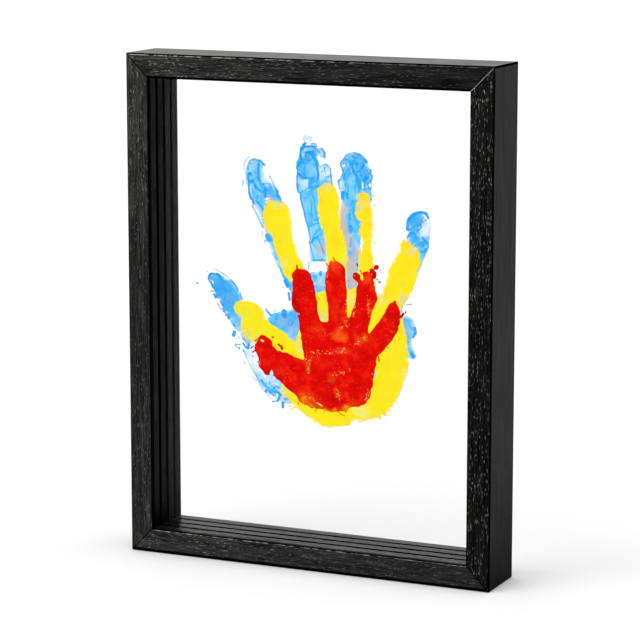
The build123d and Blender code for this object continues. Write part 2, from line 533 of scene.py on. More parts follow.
        low, high = self.streak_range
        light = add(tree, MAP_RANGE, Value=noise["streak"], From_Min=low, From_Max=high)
        low, high = self.band_range
        broad = add(
            tree, MAP_RANGE, Value=noise["band"], From_Min=low, From_Max=high, To_Min=self.band_low
        )
        light = add(tree, MATH, TIMES, Value=light, Value_001=broad)
        planed = linear(self.planed)
        paler = (*(self.planed_swing * part for part in planed[:3]), 1.0)
        plain = add(tree, MIX, COLOUR, Factor_Float=light, A_Color=planed, B_Color=paler)
        plain = add(tree, MIX, COLOUR, Factor_Float=inner_shade, A_Color=plain, B_Color=linear(self.shade_tint))
        plain = add(tree, VECTOR_MATH, {"operation": "SCALE"}, Vector=plain, Scale=low_shade)
        grained = add(
            tree, MIX, COLOUR, Factor_Float=light,
            A_Color=linear(self.ground), B_Color=linear(self.streak),
        )
        wood = add(tree, MIX, COLOUR, Factor_Float=brushed, A_Color=plain, B_Color=grained)
        # Painted shade darkens the arrises, a rail's foot and a length's tip; the dashes, partly painted
        # glints, take the flecks' colour.
        for share, tint in ((arris, linear(self.shade_tint)), (dashes, linear(self.fleck))):
            wood = add(tree, MIX, COLOUR, Factor_Float=share, A_Color=wood, B_Color=tint)
        # Only the brushed faces take the painted light along the length.
        held = add(tree, MAP_RANGE, Value=brushed, To_Min=1.0, To_Max=pale)
        wood = add(tree, VECTOR_MATH, {"operation": "SCALE"}, Vector=wood, Scale=held)
        # Pale wood and painted highlights: the line on the arrises, and the seam.
        bare = [rub_and_highlight]
        # The seam's pale line is partly bare wood and partly a painted highlight on the facet that faces up
        # to the light.
        if self.bare_and_lit_seam:
            bare.append(self.seam(tree, side, self.bare_and_lit_seam))
        for share in bare:
            wood = add(tree, MIX, COLOUR, Factor_Float=share, A_Color=wood, B_Color=linear(self.bare))

        low, high = self.band_range
        shine = add(
            tree, MAP_RANGE, Value=noise["band"], From_Min=low, From_Max=high,
            To_Min=self.shine_swing[0] * self.sheen, To_Max=self.shine_swing[1] * self.sheen,
        )
        # The arrises' painted shade takes away their shine as well.
        open_face = add(tree, MATH, {"operation": "SUBTRACT"}, Value=1.0, Value_001=arris)
        # Under the painted shade the shine drops too.
        dull = add(tree, MAP_RANGE, Value=inner_shade, To_Min=1.0, To_Max=self.shaded_shine)
        for part in (open_face, dull, low_shade):
            shine = add(tree, MATH, TIMES, Value=shine, Value_001=part)
        gloss = add(
            tree, MAP_RANGE, Value=noise["streak"],
            From_Min=self.gloss_range[0], From_Max=self.gloss_range[1],
            To_Min=self.roughness[0], To_Max=self.roughness[1],
        )
        height = add(
            tree, MATH, {"operation": "MULTIPLY_ADD"},
            Value=dashes, Value_001=self.dash_relief, Value_002=noise["streak"],
        )
        low, high = self.relief_share
        carved = add(tree, MAP_RANGE, Value=brushed, To_Min=low, To_Max=high)
        bump = add(tree, "ShaderNodeBump", Strength=carved, Distance=self.relief * MM, Height=height)
        # The open, dull stain reflects next to nothing straight on and much more at a low angle.
        shader = add(
            tree, "ShaderNodeBsdfPrincipled", Base_Color=wood, Roughness=gloss, IOR=self.ior,
            Specular_IOR_Level=shine, Normal=bump,
        )
        add(tree, "ShaderNodeOutputMaterial", Surface=shader)
        return material


@dataclass(frozen=True)
class ClearAcrylic:
    """Cast acrylic sheet with polished faces and sawn edges.

    The faces are all but unseen, with a faint reflection, and take a trace of the light. The edges
    are lightly frosted by the saw, so they show as grey lines where a pane is lifted out. The
    reflection is weaker than bare acrylic's, because the window is as white as the ground behind it.
    """

    ior: float = 1.12
    clearness: float = 0.995
    roughness: float = 0.02
    edge: str = "#5d7372"
    edge_cover: float = 0.8
    edge_roughness: Pair = (0.25, 0.5)
    edge_turn: float = 0.7
    saw_size: float = 0.9

    def material(self) -> bpy.types.Material:
        """Build the finish.

        Returns:
            The material, for a sheet whose faces look along Y.
        """
        material, tree = new_material("clear_cast_acrylic")
        through = (self.clearness, self.clearness, self.clearness, 1.0)
        clear = add(tree, "ShaderNodeBsdfTransparent", Color=through)
        gloss = add(tree, "ShaderNodeBsdfGlossy", Color=WHITE, Roughness=self.roughness)
        # A sheet's far face is met from inside, where the node turns the index round, so it is turned back.
        inside = add(tree, "ShaderNodeNewGeometry", out="Backfacing")
        index = add(tree, MAP_RANGE, Value=inside, To_Min=self.ior, To_Max=1 / self.ior)
        bounce = add(tree, "ShaderNodeFresnel", IOR=index)
        face = add(tree, "ShaderNodeMixShader", Fac=bounce, Shader=clear, Shader_001=gloss)
        place = add(tree, "ShaderNodeTexCoord", out="Object")
        saw = add(tree, NOISE, Vector=place, Scale=1 / (self.saw_size * MM), Detail=2.0)
        low, high = self.edge_roughness
        rough = add(tree, MAP_RANGE, Value=saw, To_Min=low, To_Max=high)
        frosted = add(tree, "ShaderNodeBsdfPrincipled", Base_Color=linear(self.edge), Roughness=rough)
        sawn = add(tree, "ShaderNodeMixShader", Fac=self.edge_cover, Shader=clear, Shader_001=frosted)
        facing = add(tree, "ShaderNodeNewGeometry", out="Normal")
        depth = add(tree, AXIS, out="Y", Vector=facing)
        turned = add(tree, MATH, UNSIGNED, Value=depth)
        on_edge = add(tree, MATH, BELOW, Value=turned, Value_001=self.edge_turn)
        shader = add(tree, "ShaderNodeMixShader", Fac=on_edge, Shader=face, Shader_001=sawn)
        add(tree, "ShaderNodeOutputMaterial", Surface=shader)
        return material


@dataclass(frozen=True)
class PosterPaint:
    """Washable poster paint, pressed on by a hand and dried to a satin film.

    Where the skin lifted, the film is thin and shows what is behind it; where the paint was pushed
    aside, it is richer. A watery paint also dries in lobes with a darker line round each. Sizes are
    in mm, tones and covers are shares, and a range is the stretch of a noise that shows.
    """

    name: str
    thin: str
    body: str
    rich: str
    crease: str
    mottle: float = 0.3
    mottle_size: float = 5.0
    mottle_rise: float = 1.0
    mottle_range: Pair = (0.3, 0.7)
    speck_size: float = 0.9
    speck_from: float = 0.5
    speck_soft: float = 0.12
    dot_cover: float = 0.0
    dot_range: Pair = (0.7, 0.78)
    lobe_size: float = 0.0
    lobe_squeeze: float = 0.62
    lobe_line: float = 0.5
    lobe_line_tone: float = 0.35
    lobe_tone: float = 0.2
    lobe_gain: float = 0.6
    lobe_cover: float = 0.9
    wave: float = 9.0
    wave_size: float = 8.0
    roughness: float = 0.42
    sheen: float = 0.02
    relief: float = 0.1
    relief_share: float = 0.25

    def material(self) -> bpy.types.Material:
        """Build the finish.

        Returns:
            The material, for a film with the attributes tone, cover and crease.
        """
        material, tree = new_material(self.name)
        place = add(tree, "ShaderNodeTexCoord", out="Object")
        tone, cover, crease = (
            add(tree, "ShaderNodeAttribute", {"attribute_name": name}, out="Fac")
            for name in ("tone", "cover", "crease")
        )
        drawn = add(tree, "ShaderNodeMapping", Vector=place, Scale=(1.0, 1.0, 1 / self.mottle_rise))
        scale = 1 / (self.mottle_size * MM)
        cloud = add(tree, NOISE, Vector=drawn, Scale=scale, Detail=4.0, Roughness=0.62)
        low, high = self.mottle_range
        swing = add(
            tree, MAP_RANGE, Value=cloud, From_Min=low, From_Max=high,
            To_Min=-self.mottle, To_Max=self.mottle,
        )
        tone = add(tree, MATH, PLUS, Value=tone, Value_001=swing)
        if self.lobe_size:
            tone, cover = self.lobes(tree, place, tone, cover)
        pale = add(tree, MAP_RANGE, Value=tone, From_Min=0.0, From_Max=0.5)
        deep = add(tree, MAP_RANGE, Value=tone, From_Min=0.5, From_Max=1.0)
        grit = add(tree, NOISE, Vector=place, Scale=1 / (self.speck_size * MM), Detail=1.0)
        low, high = self.speck_from, self.speck_from + self.speck_soft
        speck = add(tree, MAP_RANGE, Value=grit, From_Min=low, From_Max=high)
        speck = add(tree, MATH, TIMES, Value=speck, Value_001=crease)
        if self.dot_cover:
            low, high = self.dot_range
            dots = add(tree, MAP_RANGE, Value=grit, From_Min=low, From_Max=high, To_Max=self.dot_cover)
            speck = add(tree, MATH, LARGER, Value=speck, Value_001=dots)
        paint = linear(self.thin)
        for share, tint in ((pale, self.body), (deep, self.rich), (speck, self.crease)):
            paint = add(tree, MIX, COLOUR, Factor_Float=share, A_Color=paint, B_Color=linear(tint))
        bump = add(
            tree, "ShaderNodeBump", Strength=self.relief_share, Distance=self.relief * MM, Height=cloud
        )
        shader = add(
            tree, "ShaderNodeBsdfPrincipled", Base_Color=paint, Roughness=self.roughness, Alpha=cover,
            Specular_IOR_Level=self.sheen, Normal=bump,
        )
        add(tree, "ShaderNodeOutputMaterial", Surface=shader)
        return material

    def lobes(self, tree: Tree, place: Socket, tone: Socket, cover: Socket) -> tuple[Socket, Socket]:
        """Add the watery paint's lobes and the lines between them.

        Args:
            tree: The material's tree.
            place: Object coordinates.
            tone: The film's tone so far.
            cover: How solid the film is so far.

        Returns:
            The tone and the cover with the lobes in them.
        """
        scale, even = 1 / (self.wave_size * MM), (0.5, 0.5, 0.5)
        wave = add(tree, NOISE, out="Color", Vector=place, Scale=scale, Detail=2.0)
        wave = add(tree, VECTOR_MATH, {"operation": "SUBTRACT"}, Vector=wave, Vector_001=even)
        wave = add(tree, VECTOR_MATH, {"operation": "SCALE"}, Vector=wave, Scale=self.wave * MM)
        bent = add(tree, VECTOR_MATH, {"operation": "ADD"}, Vector=place, Vector_001=wave)
        long = add(tree, "ShaderNodeMapping", Vector=bent, Scale=(1.0, 0.0, self.lobe_squeeze))
        scale = 1 / (self.lobe_size * MM)
        gap = add(tree, "ShaderNodeTexVoronoi", {"feature": "DISTANCE_TO_EDGE"}, Vector=long, Scale=scale)
        width = self.lobe_line / self.lobe_size
        line = add(tree, MAP_RANGE, SMOOTH, Value=gap, From_Min=width, From_Max=0.0)
        own = add(tree, "ShaderNodeTexVoronoi", out="Color", Vector=long, Scale=scale)
        own = add(tree, AXIS, Vector=own)
        low, high = -self.lobe_tone, self.lobe_tone * self.lobe_gain
        swing = add(tree, MAP_RANGE, Value=own, To_Min=low, To_Max=high)
        tone = add(tree, MATH, PLUS, Value=tone, Value_001=swing)
        tone = add(tree, MATH, TIMES_PLUS, Value=line, Value_001=self.lobe_line_tone, Value_002=tone)
        water = add(tree, MAP_RANGE, Value=tone, To_Min=self.lobe_cover, To_Max=1.0)
        cover = add(tree, MATH, TIMES, Value=cover, Value_001=water)
        return tone, cover


@dataclass(frozen=True)
class WorkedMetal:
    """Bare or plated metal with the fine marks of how it was made.

    Drawn and pressed steel keep fine lines and a soft shine; nickel plate is brighter and
    smoother, with a faint haze. A mark's size on each axis and its depth are in mm.
    """

    name: str
    colour: str
    roughness: float
    mark_size: tuple[float, float, float]
    mark_range: Pair = (0.3, 0.7)
    mark_shade: float = 0.7
    mark_depth: float = 0.03
    mark_share: float = 0.15
    rough_swing: Pair = (0.7, 1.4)

    def material(self) -> bpy.types.Material:
        """Build the finish.

        Returns:
            The material, with its marks as long on each axis as mark_size says.
        """
        material, tree = new_material(self.name)
        place = add(tree, "ShaderNodeTexCoord", out="Object")
        scale = Vector([1 / (size * MM) for size in self.mark_size])
        laid = add(tree, "ShaderNodeMapping", Vector=place, Scale=scale)
        marks = add(tree, NOISE, Vector=laid, Scale=1.0, Detail=3.0)
        rough = add(
            tree, MAP_RANGE, Value=marks, From_Min=self.mark_range[0], From_Max=self.mark_range[1],
            To_Min=self.roughness * self.rough_swing[0], To_Max=self.roughness * self.rough_swing[1],
        )
        bright = linear(self.colour)
        dark = (*(self.mark_shade * part for part in bright[:3]), 1.0)
        shade = add(tree, MIX, COLOUR, Factor_Float=marks, A_Color=dark, B_Color=bright)
        bump = add(
            tree, "ShaderNodeBump", Strength=self.mark_share, Distance=self.mark_depth * MM, Height=marks
        )
        shader = add(
            tree, "ShaderNodeBsdfPrincipled", Base_Color=shade, Metallic=1.0, Roughness=rough, Normal=bump
        )
        add(tree, "ShaderNodeOutputMaterial", Surface=shader)
        return material


class PaintNoise:
    """Seeded smooth noise, for the ragged edges and the uneven thickness of a film."""

    TABLE = 128

    def __init__(self, seed: int) -> None:
        """Draw the table of random values."""
        self.values = np.random.default_rng(seed).random((self.TABLE, self.TABLE))

    def at(self, x: Array, z: Array, across: float, up: float = 0.0) -> Array:
        """Read the noise.

        Args:
            x: Places across, in mm.
            z: Places up, in mm.
            across: The noise's size across, in mm.
            up: Its size up, in mm, or 0 for the same as across.

        Returns:
            A value from -1 to 1 for each place.
        """
        u, v = x / across, z / (up or across)
        i, j = np.floor(u).astype(int), np.floor(v).astype(int)
        s, t = u - i, v - j
        s, t = s * s * (3 - 2 * s), t * t * (3 - 2 * t)
        corner = [self.values[(i + a) % self.TABLE, (j + b) % self.TABLE] for a in (0, 1) for b in (0, 1)]
        low = corner[0] * (1 - t) + corner[1] * t
        high = corner[2] * (1 - t) + corner[3] * t
        return 2 * (low * (1 - s) + high * s) - 1


def chain_distance(x: Array, z: Array, chain: Chain) -> Array:
    """Measure how far places are from a chain of dabs drawn into one stroke.

    Args:
        x: Places across, in mm.
        z: Places up, in mm.
        chain: The dabs, from one end to the other.

    Returns:
        The distance to the stroke's edge, negative inside it.
    """
    nearest = np.hypot(x - chain[0].x, z - chain[0].z) - chain[0].r
    for a, b in zip(chain, chain[1:]):
        dx, dz = b.x - a.x, b.z - a.z
        share = np.clip(((x - a.x) * dx + (z - a.z) * dz) / (dx * dx + dz * dz), 0, 1)
        away = np.hypot(x - a.x - share * dx, z - a.z - share * dz)
        nearest = np.minimum(nearest, away - a.r - share * (b.r - a.r))
    return nearest


def hull_distance(x: Array, z: Array, pads: Chain, turns: int = 72) -> Array:
    """Measure how far places are from the outline stretched round some dabs.

    Args:
        x: Places across, in mm.
        z: Places up, in mm.
        pads: The dabs.
        turns: How many directions the outline is tested in.

    Returns:
        The distance to the outline, negative inside it.
    """
    far = np.full_like(x, -np.inf)
    for angle in np.linspace(0, 2 * math.pi, turns, endpoint=False):
        c, s = math.cos(angle), math.sin(angle)
        reach = max(pad.x * c + pad.z * s + pad.r for pad in pads)
        far = np.maximum(far, x * c + z * s - reach)
    return far


def blend_min(a: Array, b: Array, fillet: float) -> Array:
    """Join two distance fields with a soft web between them.

    Args:
        a: One field.
        b: The other field.
        fillet: The web's size, in mm.

    Returns:
        The joined field.
    """
    share = np.clip(0.5 + (b - a) / (2 * fillet), 0, 1)
    return b + (a - b) * share - fillet * share * (1 - share)


def cut_triangles(
    inside: Field, low: Vector, high: Vector, step: float, nudge: float = 0.05
) -> tuple[Array, Array]:
    """Fill the inside of an outline with triangles on a grid, cut where the outline crosses.

    Args:
        inside: The outline's field, negative inside.
        low: The lowest corner of the grid, in mm.
        high: Its highest corner.
        step: Its spacing.
        nudge: How near the outline a point counts as just inside it, as a share of the spacing, so
            that no triangle is a sliver.

    Returns:
        Points of two numbers each, and triangles that turn left seen from the front.
    """
    across, up = np.arange(low.x, high.x, step), np.arange(low.y, high.y, step)
    x, z = (grid.ravel() for grid in np.meshgrid(across, up, indexing="ij"))
    value = inside(x, z)
    value[np.abs(value) < nudge * step] = -nudge * step
    index = np.arange(x.size).reshape(across.size, up.size)
    a, b, c, d = index[:-1, :-1], index[1:, :-1], index[1:, 1:], index[:-1, 1:]
    halves = (a, b, c), (a, c, d)
    cells = np.concatenate([np.stack(corners, -1).reshape(-1, 3) for corners in halves])
    held = (value < 0)[cells]
    count = held.sum(1)
    kept = [cells[count == 3]]
    cuts: list[Array] = []

    def turned(rows: Array, first: Array) -> Array:
        """Turn each triangle so that the corner marked in first leads."""
        lead = first.argmax(1)[:, None]
        return np.take_along_axis(rows, (lead + np.arange(3)) % 3, 1)

    def cut(start: Array, end: Array) -> Array:
        """Note the edges to cut, and give their new points' numbers, still to be shared."""
        keys = np.minimum(start, end) * x.size + np.maximum(start, end)
        cuts.append(keys)
        return x.size + sum(len(k) for k in cuts[:-1]) + np.arange(len(keys))

    tips = turned(cells[count == 1], held[count == 1])
    kept.append(np.stack([tips[:, 0], cut(tips[:, 0], tips[:, 1]), cut(tips[:, 0], tips[:, 2])], 1))
    ends = turned(cells[count == 2], ~held[count == 2])
    left, right = cut(ends[:, 0], ends[:, 1]), cut(ends[:, 0], ends[:, 2])
    kept.append(np.stack([left, ends[:, 1], ends[:, 2]], 1))
    kept.append(np.stack([left, ends[:, 2], right], 1))

    keys, shared = np.unique(np.concatenate(cuts), return_inverse=True)
    start, end = keys // x.size, keys % x.size
    share = value[start] / (value[start] - value[end])
    points = np.concatenate([
        np.stack([x, z], 1),
        np.stack([x[start] + share * (x[end] - x[start]), z[start] + share * (z[end] - z[start])], 1),
    ])
    triangles = np.concatenate(kept)
    triangles = np.where(triangles < x.size, triangles, x.size + shared[np.maximum(triangles - x.size, 0)])
    used, triangles = np.unique(triangles, return_inverse=True)
    return points[used], triangles.reshape(-1, 3)


def stroke_distance(
    x: Array, z: Array, strokes: tuple[Stroke, ...], reach: float = 3.0
) -> tuple[Array, Array]:
    """Measure how far places are from the nearest of some strokes.

    Args:
        x: Places across, in mm.
        z: Places up, in mm.
        strokes: The strokes.
        reach: How far from a stroke still counts, in mm.

    Returns:
        The distance to the nearest stroke's edge, at most the reach, and that stroke's number.
    """
    near = np.full_like(x, reach)
    owner = np.zeros(x.shape, dtype=int)
    for number, stroke in enumerate(strokes):
        xs, zs = np.array(stroke.points).T
        room = stroke.half + reach
        here = (x > xs.min() - room) & (x < xs.max() + room) & (z > zs.min() - room) & (z < zs.max() + room)
        chain = tuple(Pad(*point, stroke.half) for point in stroke.points)
        away = np.full_like(x, reach)
        away[here] = chain_distance(x[here], z[here], chain)
        owner[away < near] = number
        near = np.minimum(near, away)
    return near, owner


@dataclass
class Handprint:
    """One print: a film of paint on a pane's front face, its ridges, and the drops beside it.

    Places are across and up on the pane, and sizes are in mm. A tone runs from 0 for thin to 1 for
    rich paint, and a cover from 0 for clear to 1 for solid. A rough says how much a noise adds, and
    the noise's size.
    """

    colour: str
    body: str
    paint: PosterPaint
    seed: int
    fingers: tuple[Chain, ...]
    palm: Chain
    strokes: tuple[Stroke, ...] = ()
    ridges: tuple[Stroke, ...] = ()
    bare: tuple[Chain, ...] = ()
    covers: tuple[Patch, ...] = ()
    tones: tuple[Patch, ...] = ()
    stains: tuple[Patch, ...] = ()
    creases: tuple[Stroke, ...] = ()
    drops: Chain = ()

    # Tone and cover: their level, and what strokes, the rim, creases and the dry edge do to them
    base_cover: float = 1.0
    base_tone: float = 0.5
    cover_range: Pair = (0.06, 0.9995)
    stroke_tone: float = 0.2
    stroke_cover: float = 0.9
    stroke_soft: float = 0.4
    stroke_edge: float = 0.3
    rim_tone: float = 0.1
    rim_width: float = 0.9
    crease_width: float = 0.8
    edge_fade: float = 0.0
    fade_width: float = 1.6
    fade_rough: Pair = (0.5, 1.1)
    fade_share: float = 0.55
    fade_reach: float = 9.0
    drift: float = 1.5
    drift_sizes: Pair = (4.0, 1.6)
    fine_drift: float = 0.5

    # The edge: its rags as shares and sizes, the finer teeth that are torn in places, and roughs
    ragged: float = 0.8
    rags: tuple[Pair, ...] = ((0.45, 7.0), (0.3, 3.0), (0.25, 1.3))
    teeth: float = 0.5
    teeth_size: Pair = (2.0, 1.4)
    torn_size: float = 13.0
    torn_level: float = 0.5
    torn_range: Pair = (0.1, 1.3)
    gap_rough: Pair = (0.4, 2.0)
    line_rough: Pair = (0.2, 1.7)
    fine_rough: Pair = (0.12, 0.8)
    web: float = 2.5

    # Thickness of the film and its ridges, and the grids that they are cut on
    film: float = 0.3
    film_rough: Pair = (0.2, 2.6)
    edge_film: float = 0.08
    edge_width: float = 1.4
    air: float = 0.02
    step: float = 0.5
    margin: float = 8.0
    ridge_height: float = 0.08
    ridge_foot: float = 0.3
    ridge_tone: float = 0.25
    ridge_cover: float = 0.1
    most_cover: float = 0.97
    ridge_spread: float = 0.13
    ridge_step: float = 0.28
    drop_half: float = 0.11
    noise: PaintNoise = field(init=False)

    def __post_init__(self) -> None:
        """Seed the noise."""
        self.noise = PaintNoise(self.seed)

    def front(self) -> float:
        """Give the place of the pane's front face, in mm."""
        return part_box(self.body)[0].y / MM

    def hand(self, x: Array, z: Array) -> Array:
        """Measure how far places are from the ragged outline of the hand alone.

        Args:
            x: Places across, in mm.
            z: Places up, in mm.

        Returns:
            The distance to the outline, negative inside it.
        """
        near = hull_distance(x, z, self.palm)
        for finger in self.fingers:
            near = blend_min(near, chain_distance(x, z, finger), self.web)
        for share, size in self.rags:
            near = near + self.ragged * share * self.noise.at(x, z, size)
        torn = np.clip(self.torn_level + self.noise.at(x, z, self.torn_size), *self.torn_range)
        near = near + self.teeth * torn * self.noise.at(x, z, *self.teeth_size)
        high, size = self.gap_rough
        for gap in self.bare:
            near = np.maximum(near, -chain_distance(x, z, gap) + high * self.noise.at(x, z, size))
        return near

    def lines(self, x: Array, z: Array, strokes: tuple[Stroke, ...]) -> Array:
        """Measure how far places are from the nearest of some strokes, with their edges roughened.

        Args:
            x: Places across, in mm.
            z: Places up, in mm.
            strokes: The strokes.

        Returns:
            The distance to the nearest edge, negative inside it.
        """
        (high, size), (low, grit) = self.line_rough, self.fine_rough
        rough = high * self.noise.at(x, z, size) + low * self.noise.at(z, x, grit)
        return stroke_distance(x, z, strokes)[0] + rough

    def outline(self, x: Array, z: Array) -> Array:
        """Measure how far places are from the edge of the whole film."""
        return np.minimum(self.hand(x, z), self.lines(x, z, self.strokes))

    def patched(self, x: Array, z: Array, start: float, patches: tuple[Patch, ...]) -> Array:
        """Add uneven patches to an even value.

        Args:
            x: Places across, in mm.
            z: Places up, in mm.
            start: The even value.
            patches: The patches to add.

        Returns:
            The value at each place.
        """
        total = np.full_like(x, start)
        coarse, fine = self.drift_sizes
        left, up = (
            a + self.drift * (self.noise.at(a, b, coarse) + self.fine_drift * self.noise.at(a, b, fine))
            for a, b in ((x, z), (z, x))
        )
        for patch in patches:
            away = np.hypot(left - patch.x, up - patch.z) / patch.reach
            total += patch.amount * np.exp(-(away**3))
        return total

    def height(self, x: Array, z: Array) -> Array:
        """Give the film's thickness.

        Args:
            x: Places across, in mm.
            z: Places up, in mm.

        Returns:
            The thickness in mm: thin at the edge, uneven inside, and none beside the film.
        """
        depth = -self.outline(x, z)
        rise = 1 - (1 - np.clip(depth / self.edge_width, 0, 1)) ** 2
        high, size = self.film_rough
        uneven = 1 - high + high * self.noise.at(x, z, size)
        return np.where(depth >= 0, self.edge_film + (self.film - self.edge_film) * rise * uneven, 0)

    def faded(self, x: Array, z: Array) -> Array:
        """Give how much of the film is missing near its edge, where it dried thin in places.

        Args:
            x: Places across, in mm.
            z: Places up, in mm.

        Returns:
            The missing share at each place.
        """
        high, size = self.fade_rough
        width = self.fade_width * (1 + high * self.noise.at(x, z, size))
        near = 1 - np.clip(-self.hand(x, z) / width, 0, 1)
        return self.edge_fade * near * np.clip(self.fade_share + self.noise.at(z, x, self.fade_reach), 0, 1)

    def grid_box(self) -> tuple[Vector, Vector]:
        """Find a grid that holds the whole print.

        Returns:
            The grid's lowest and highest corners, in mm.
        """
        pads = [pad for chain in (*self.fingers, self.palm) for pad in chain]
        for stroke in self.strokes + self.ridges:
            pads += [Pad(*point, stroke.half) for point in stroke.points]
        low = Vector((min(p.x - p.r for p in pads), min(p.z - p.r for p in pads)))
        high = Vector((max(p.x + p.r for p in pads), max(p.z + p.r for p in pads)))
        room = Vector((self.margin, self.margin))
        return low - room, high + room

    def closed(
        self,
        name: str,
        points: Array,
        front: Array,
        rise: tuple[Array, float],
        layers: dict[str, Array],
    ) -> bpy.types.Object:
        """Close a flat cut shape into a thin solid of paint on the pane.

        Args:
            name: The piece's name.
            points: The cut shape's points across and up, in mm.
            front: Its triangles.
            rise: How far the front stands off the pane at each point, and how far the back does, in mm.
            layers: The attributes tone, cover and crease at each point.

        Returns:
            The piece, painted and riding on its pane.
        """
        x, z = points.T
        face, count = self.front(), len(points)
        spots = np.concatenate([
            np.stack([x, face - rise[0], z], 1),
            np.stack([x, np.full_like(x, face - rise[1]), z], 1),
        ]) * MM
        edges = np.concatenate([front[:, [0, 1]], front[:, [1, 2]], front[:, [2, 0]]])
        key = edges[:, 0] * count + edges[:, 1]
        alone = ~np.isin(key, edges[:, 1] * count + edges[:, 0])
        start, end = edges[alone].T
        walls = [np.stack([end, start, start + count], 1), np.stack([end, start + count, end + count], 1)]
        faces = np.concatenate([front, *walls, front[:, ::-1] + count])
        mesh = bpy.data.meshes.new(name)
        mesh.from_pydata(spots.tolist(), [], faces.tolist())
        mesh.polygons.foreach_set("use_smooth", np.arange(len(faces)) < len(front))
        # Both faces of the film hide what is behind them, so each has the square root of its clearness.
        layers["cover"] = 1 - np.sqrt(1 - layers["cover"])
        for attribute, values in layers.items():
            layer = mesh.attributes.new(attribute, "FLOAT", "POINT")
            layer.data.foreach_set("value", np.tile(values, 2).astype(np.float32))
        obj = bpy.data.objects.new(name, mesh)
        bpy.context.scene.collection.objects.link(obj)
        self.finish(obj)
        return obj

    def press(self) -> bpy.types.Object:
        """Build the film that the hand pressed on, in place of the plain print.

        Returns:
            The film's object.
        """
        points, front = cut_triangles(self.outline, *self.grid_box(), self.step)
        x, z = points.T
        drawn = np.clip(-self.lines(x, z, self.strokes) / self.stroke_soft + self.stroke_edge, 0, 1)
        rim = np.exp(-np.maximum(-self.outline(x, z), 0) / self.rim_width)
        cover = self.patched(x, z, self.base_cover, self.covers) * (1 - self.faded(x, z))
        cover = np.maximum(cover, self.stroke_cover * drawn)
        tone = self.patched(x, z, self.base_tone, self.tones)
        tone = tone + self.rim_tone * rim + self.stroke_tone * drawn
        dry = np.clip(1 - self.lines(x, z, self.creases) / self.crease_width, 0, 1)
        layers = {
            "tone": np.clip(tone, 0, 1),
            "cover": np.clip(cover, *self.cover_range),
            "crease": np.clip(dry + self.patched(x, z, 0.0, self.stains), 0, 1),
        }
        rise = self.air + np.maximum(self.height(x, z), self.edge_film)
        obj = self.closed(f"{self.colour}_print", points, front, (rise, self.air), layers)
        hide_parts(f"{self.colour}_handprint")
        return obj

    def squeeze(self) -> bpy.types.Object:
        """Build the ridges of rich paint that the skin's edges and creases squeezed up.

        Returns:
            The ridges' object, on a finer grid than the film.
        """
        def inside(x: Array, z: Array) -> Array:
            """Measure how far places are from the ridges' edges, which ran a little when wet."""
            return self.lines(x, z, self.ridges) - self.ridge_spread

        points, front = cut_triangles(inside, *self.grid_box(), self.ridge_step)
        x, z = points.T
        owner = stroke_distance(x, z, self.ridges)[1]
        kinds = np.array([(ridge.tone, ridge.cover, ridge.half) for ridge in self.ridges])
        tone, cover, half = kinds[owner].T
        bulge = 1 - (1 - np.clip(-inside(x, z) / half, 0, 1)) ** 2
        swell = self.ridge_foot + (1 - self.ridge_foot) * bulge
        rise = self.air + self.height(x, z) + self.ridge_height * swell
        layers = {
            "tone": tone + self.ridge_tone,
            "cover": np.minimum(cover + self.ridge_cover, self.most_cover),
            "crease": np.zeros_like(x),
        }
        return self.closed(f"{self.colour}_ridges", points, front, (rise, 2 * self.air), layers)

    def build(self) -> list[bpy.types.Object]:
        """Build the print's film, its ridges where it has some, and its drops."""
        pieces = [self.press(), self.squeeze()] if self.ridges else [self.press()]
        return pieces + [self.spatter()]

    def finish(self, obj: bpy.types.Object) -> None:
        """Paint a piece of the print and let it ride on the pane.

        Args:
            obj: The piece.
        """
        if not obj.data.materials:
            obj.data.materials.append(self.wet())
        # Light reaches these thin films from behind as well, so one print neither shades nor tints another.
        obj.visible_shadow = False
        obj.visible_diffuse = False
        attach(obj, self.body)

    def wet(self) -> bpy.types.Material:
        """Give the print's paint, made once."""
        return bpy.data.materials.get(self.paint.name) or self.paint.material()

    def spatter(self) -> bpy.types.Object:
        """Build the drops beside the print with a tree of Geometry Nodes.

        Returns:
            The drops' object, a plain mesh that rides on the pane.
        """
        name = f"{self.colour}_drops"
        face = self.front() - self.air
        seeds = bpy.data.meshes.new(name)
        seeds.from_pydata([(p.x * MM, (face - self.drop_half) * MM, p.z * MM) for p in self.drops], [], [])
        size = seeds.attributes.new("size", "FLOAT", "POINT")
        size.data.foreach_set("value", [p.r * MM for p in self.drops])
        obj = bpy.data.objects.new(name, seeds)
        bpy.context.scene.collection.objects.link(obj)
        tree = drop_tree()
        modifier = obj.modifiers.new("drops", "NODES")
        modifier.node_group = tree
        wanted = {"Half height": self.drop_half * MM, "Seed": self.seed, "Paint": self.wet()}
        for item in tree.interface.items_tree:
            if item.name in wanted and item.in_out == "INPUT":
                modifier[item.identifier] = wanted[item.name]
        bpy.context.view_layer.update()
        made = bpy.data.meshes.new_from_object(obj.evaluated_get(bpy.context.evaluated_depsgraph_get()))
        obj.modifiers.remove(modifier)
        obj.data = made
        self.finish(obj)
        return obj


# A drop's shape, as shares of its size on each axis, and its paint
DROP_LEAST = (0.75, 0.9, 0.75)
DROP_MOST = (1.3, 1.0, 1.3)
DROP_PAINT = {"tone": 0.7, "cover": 0.85, "crease": 0.0}


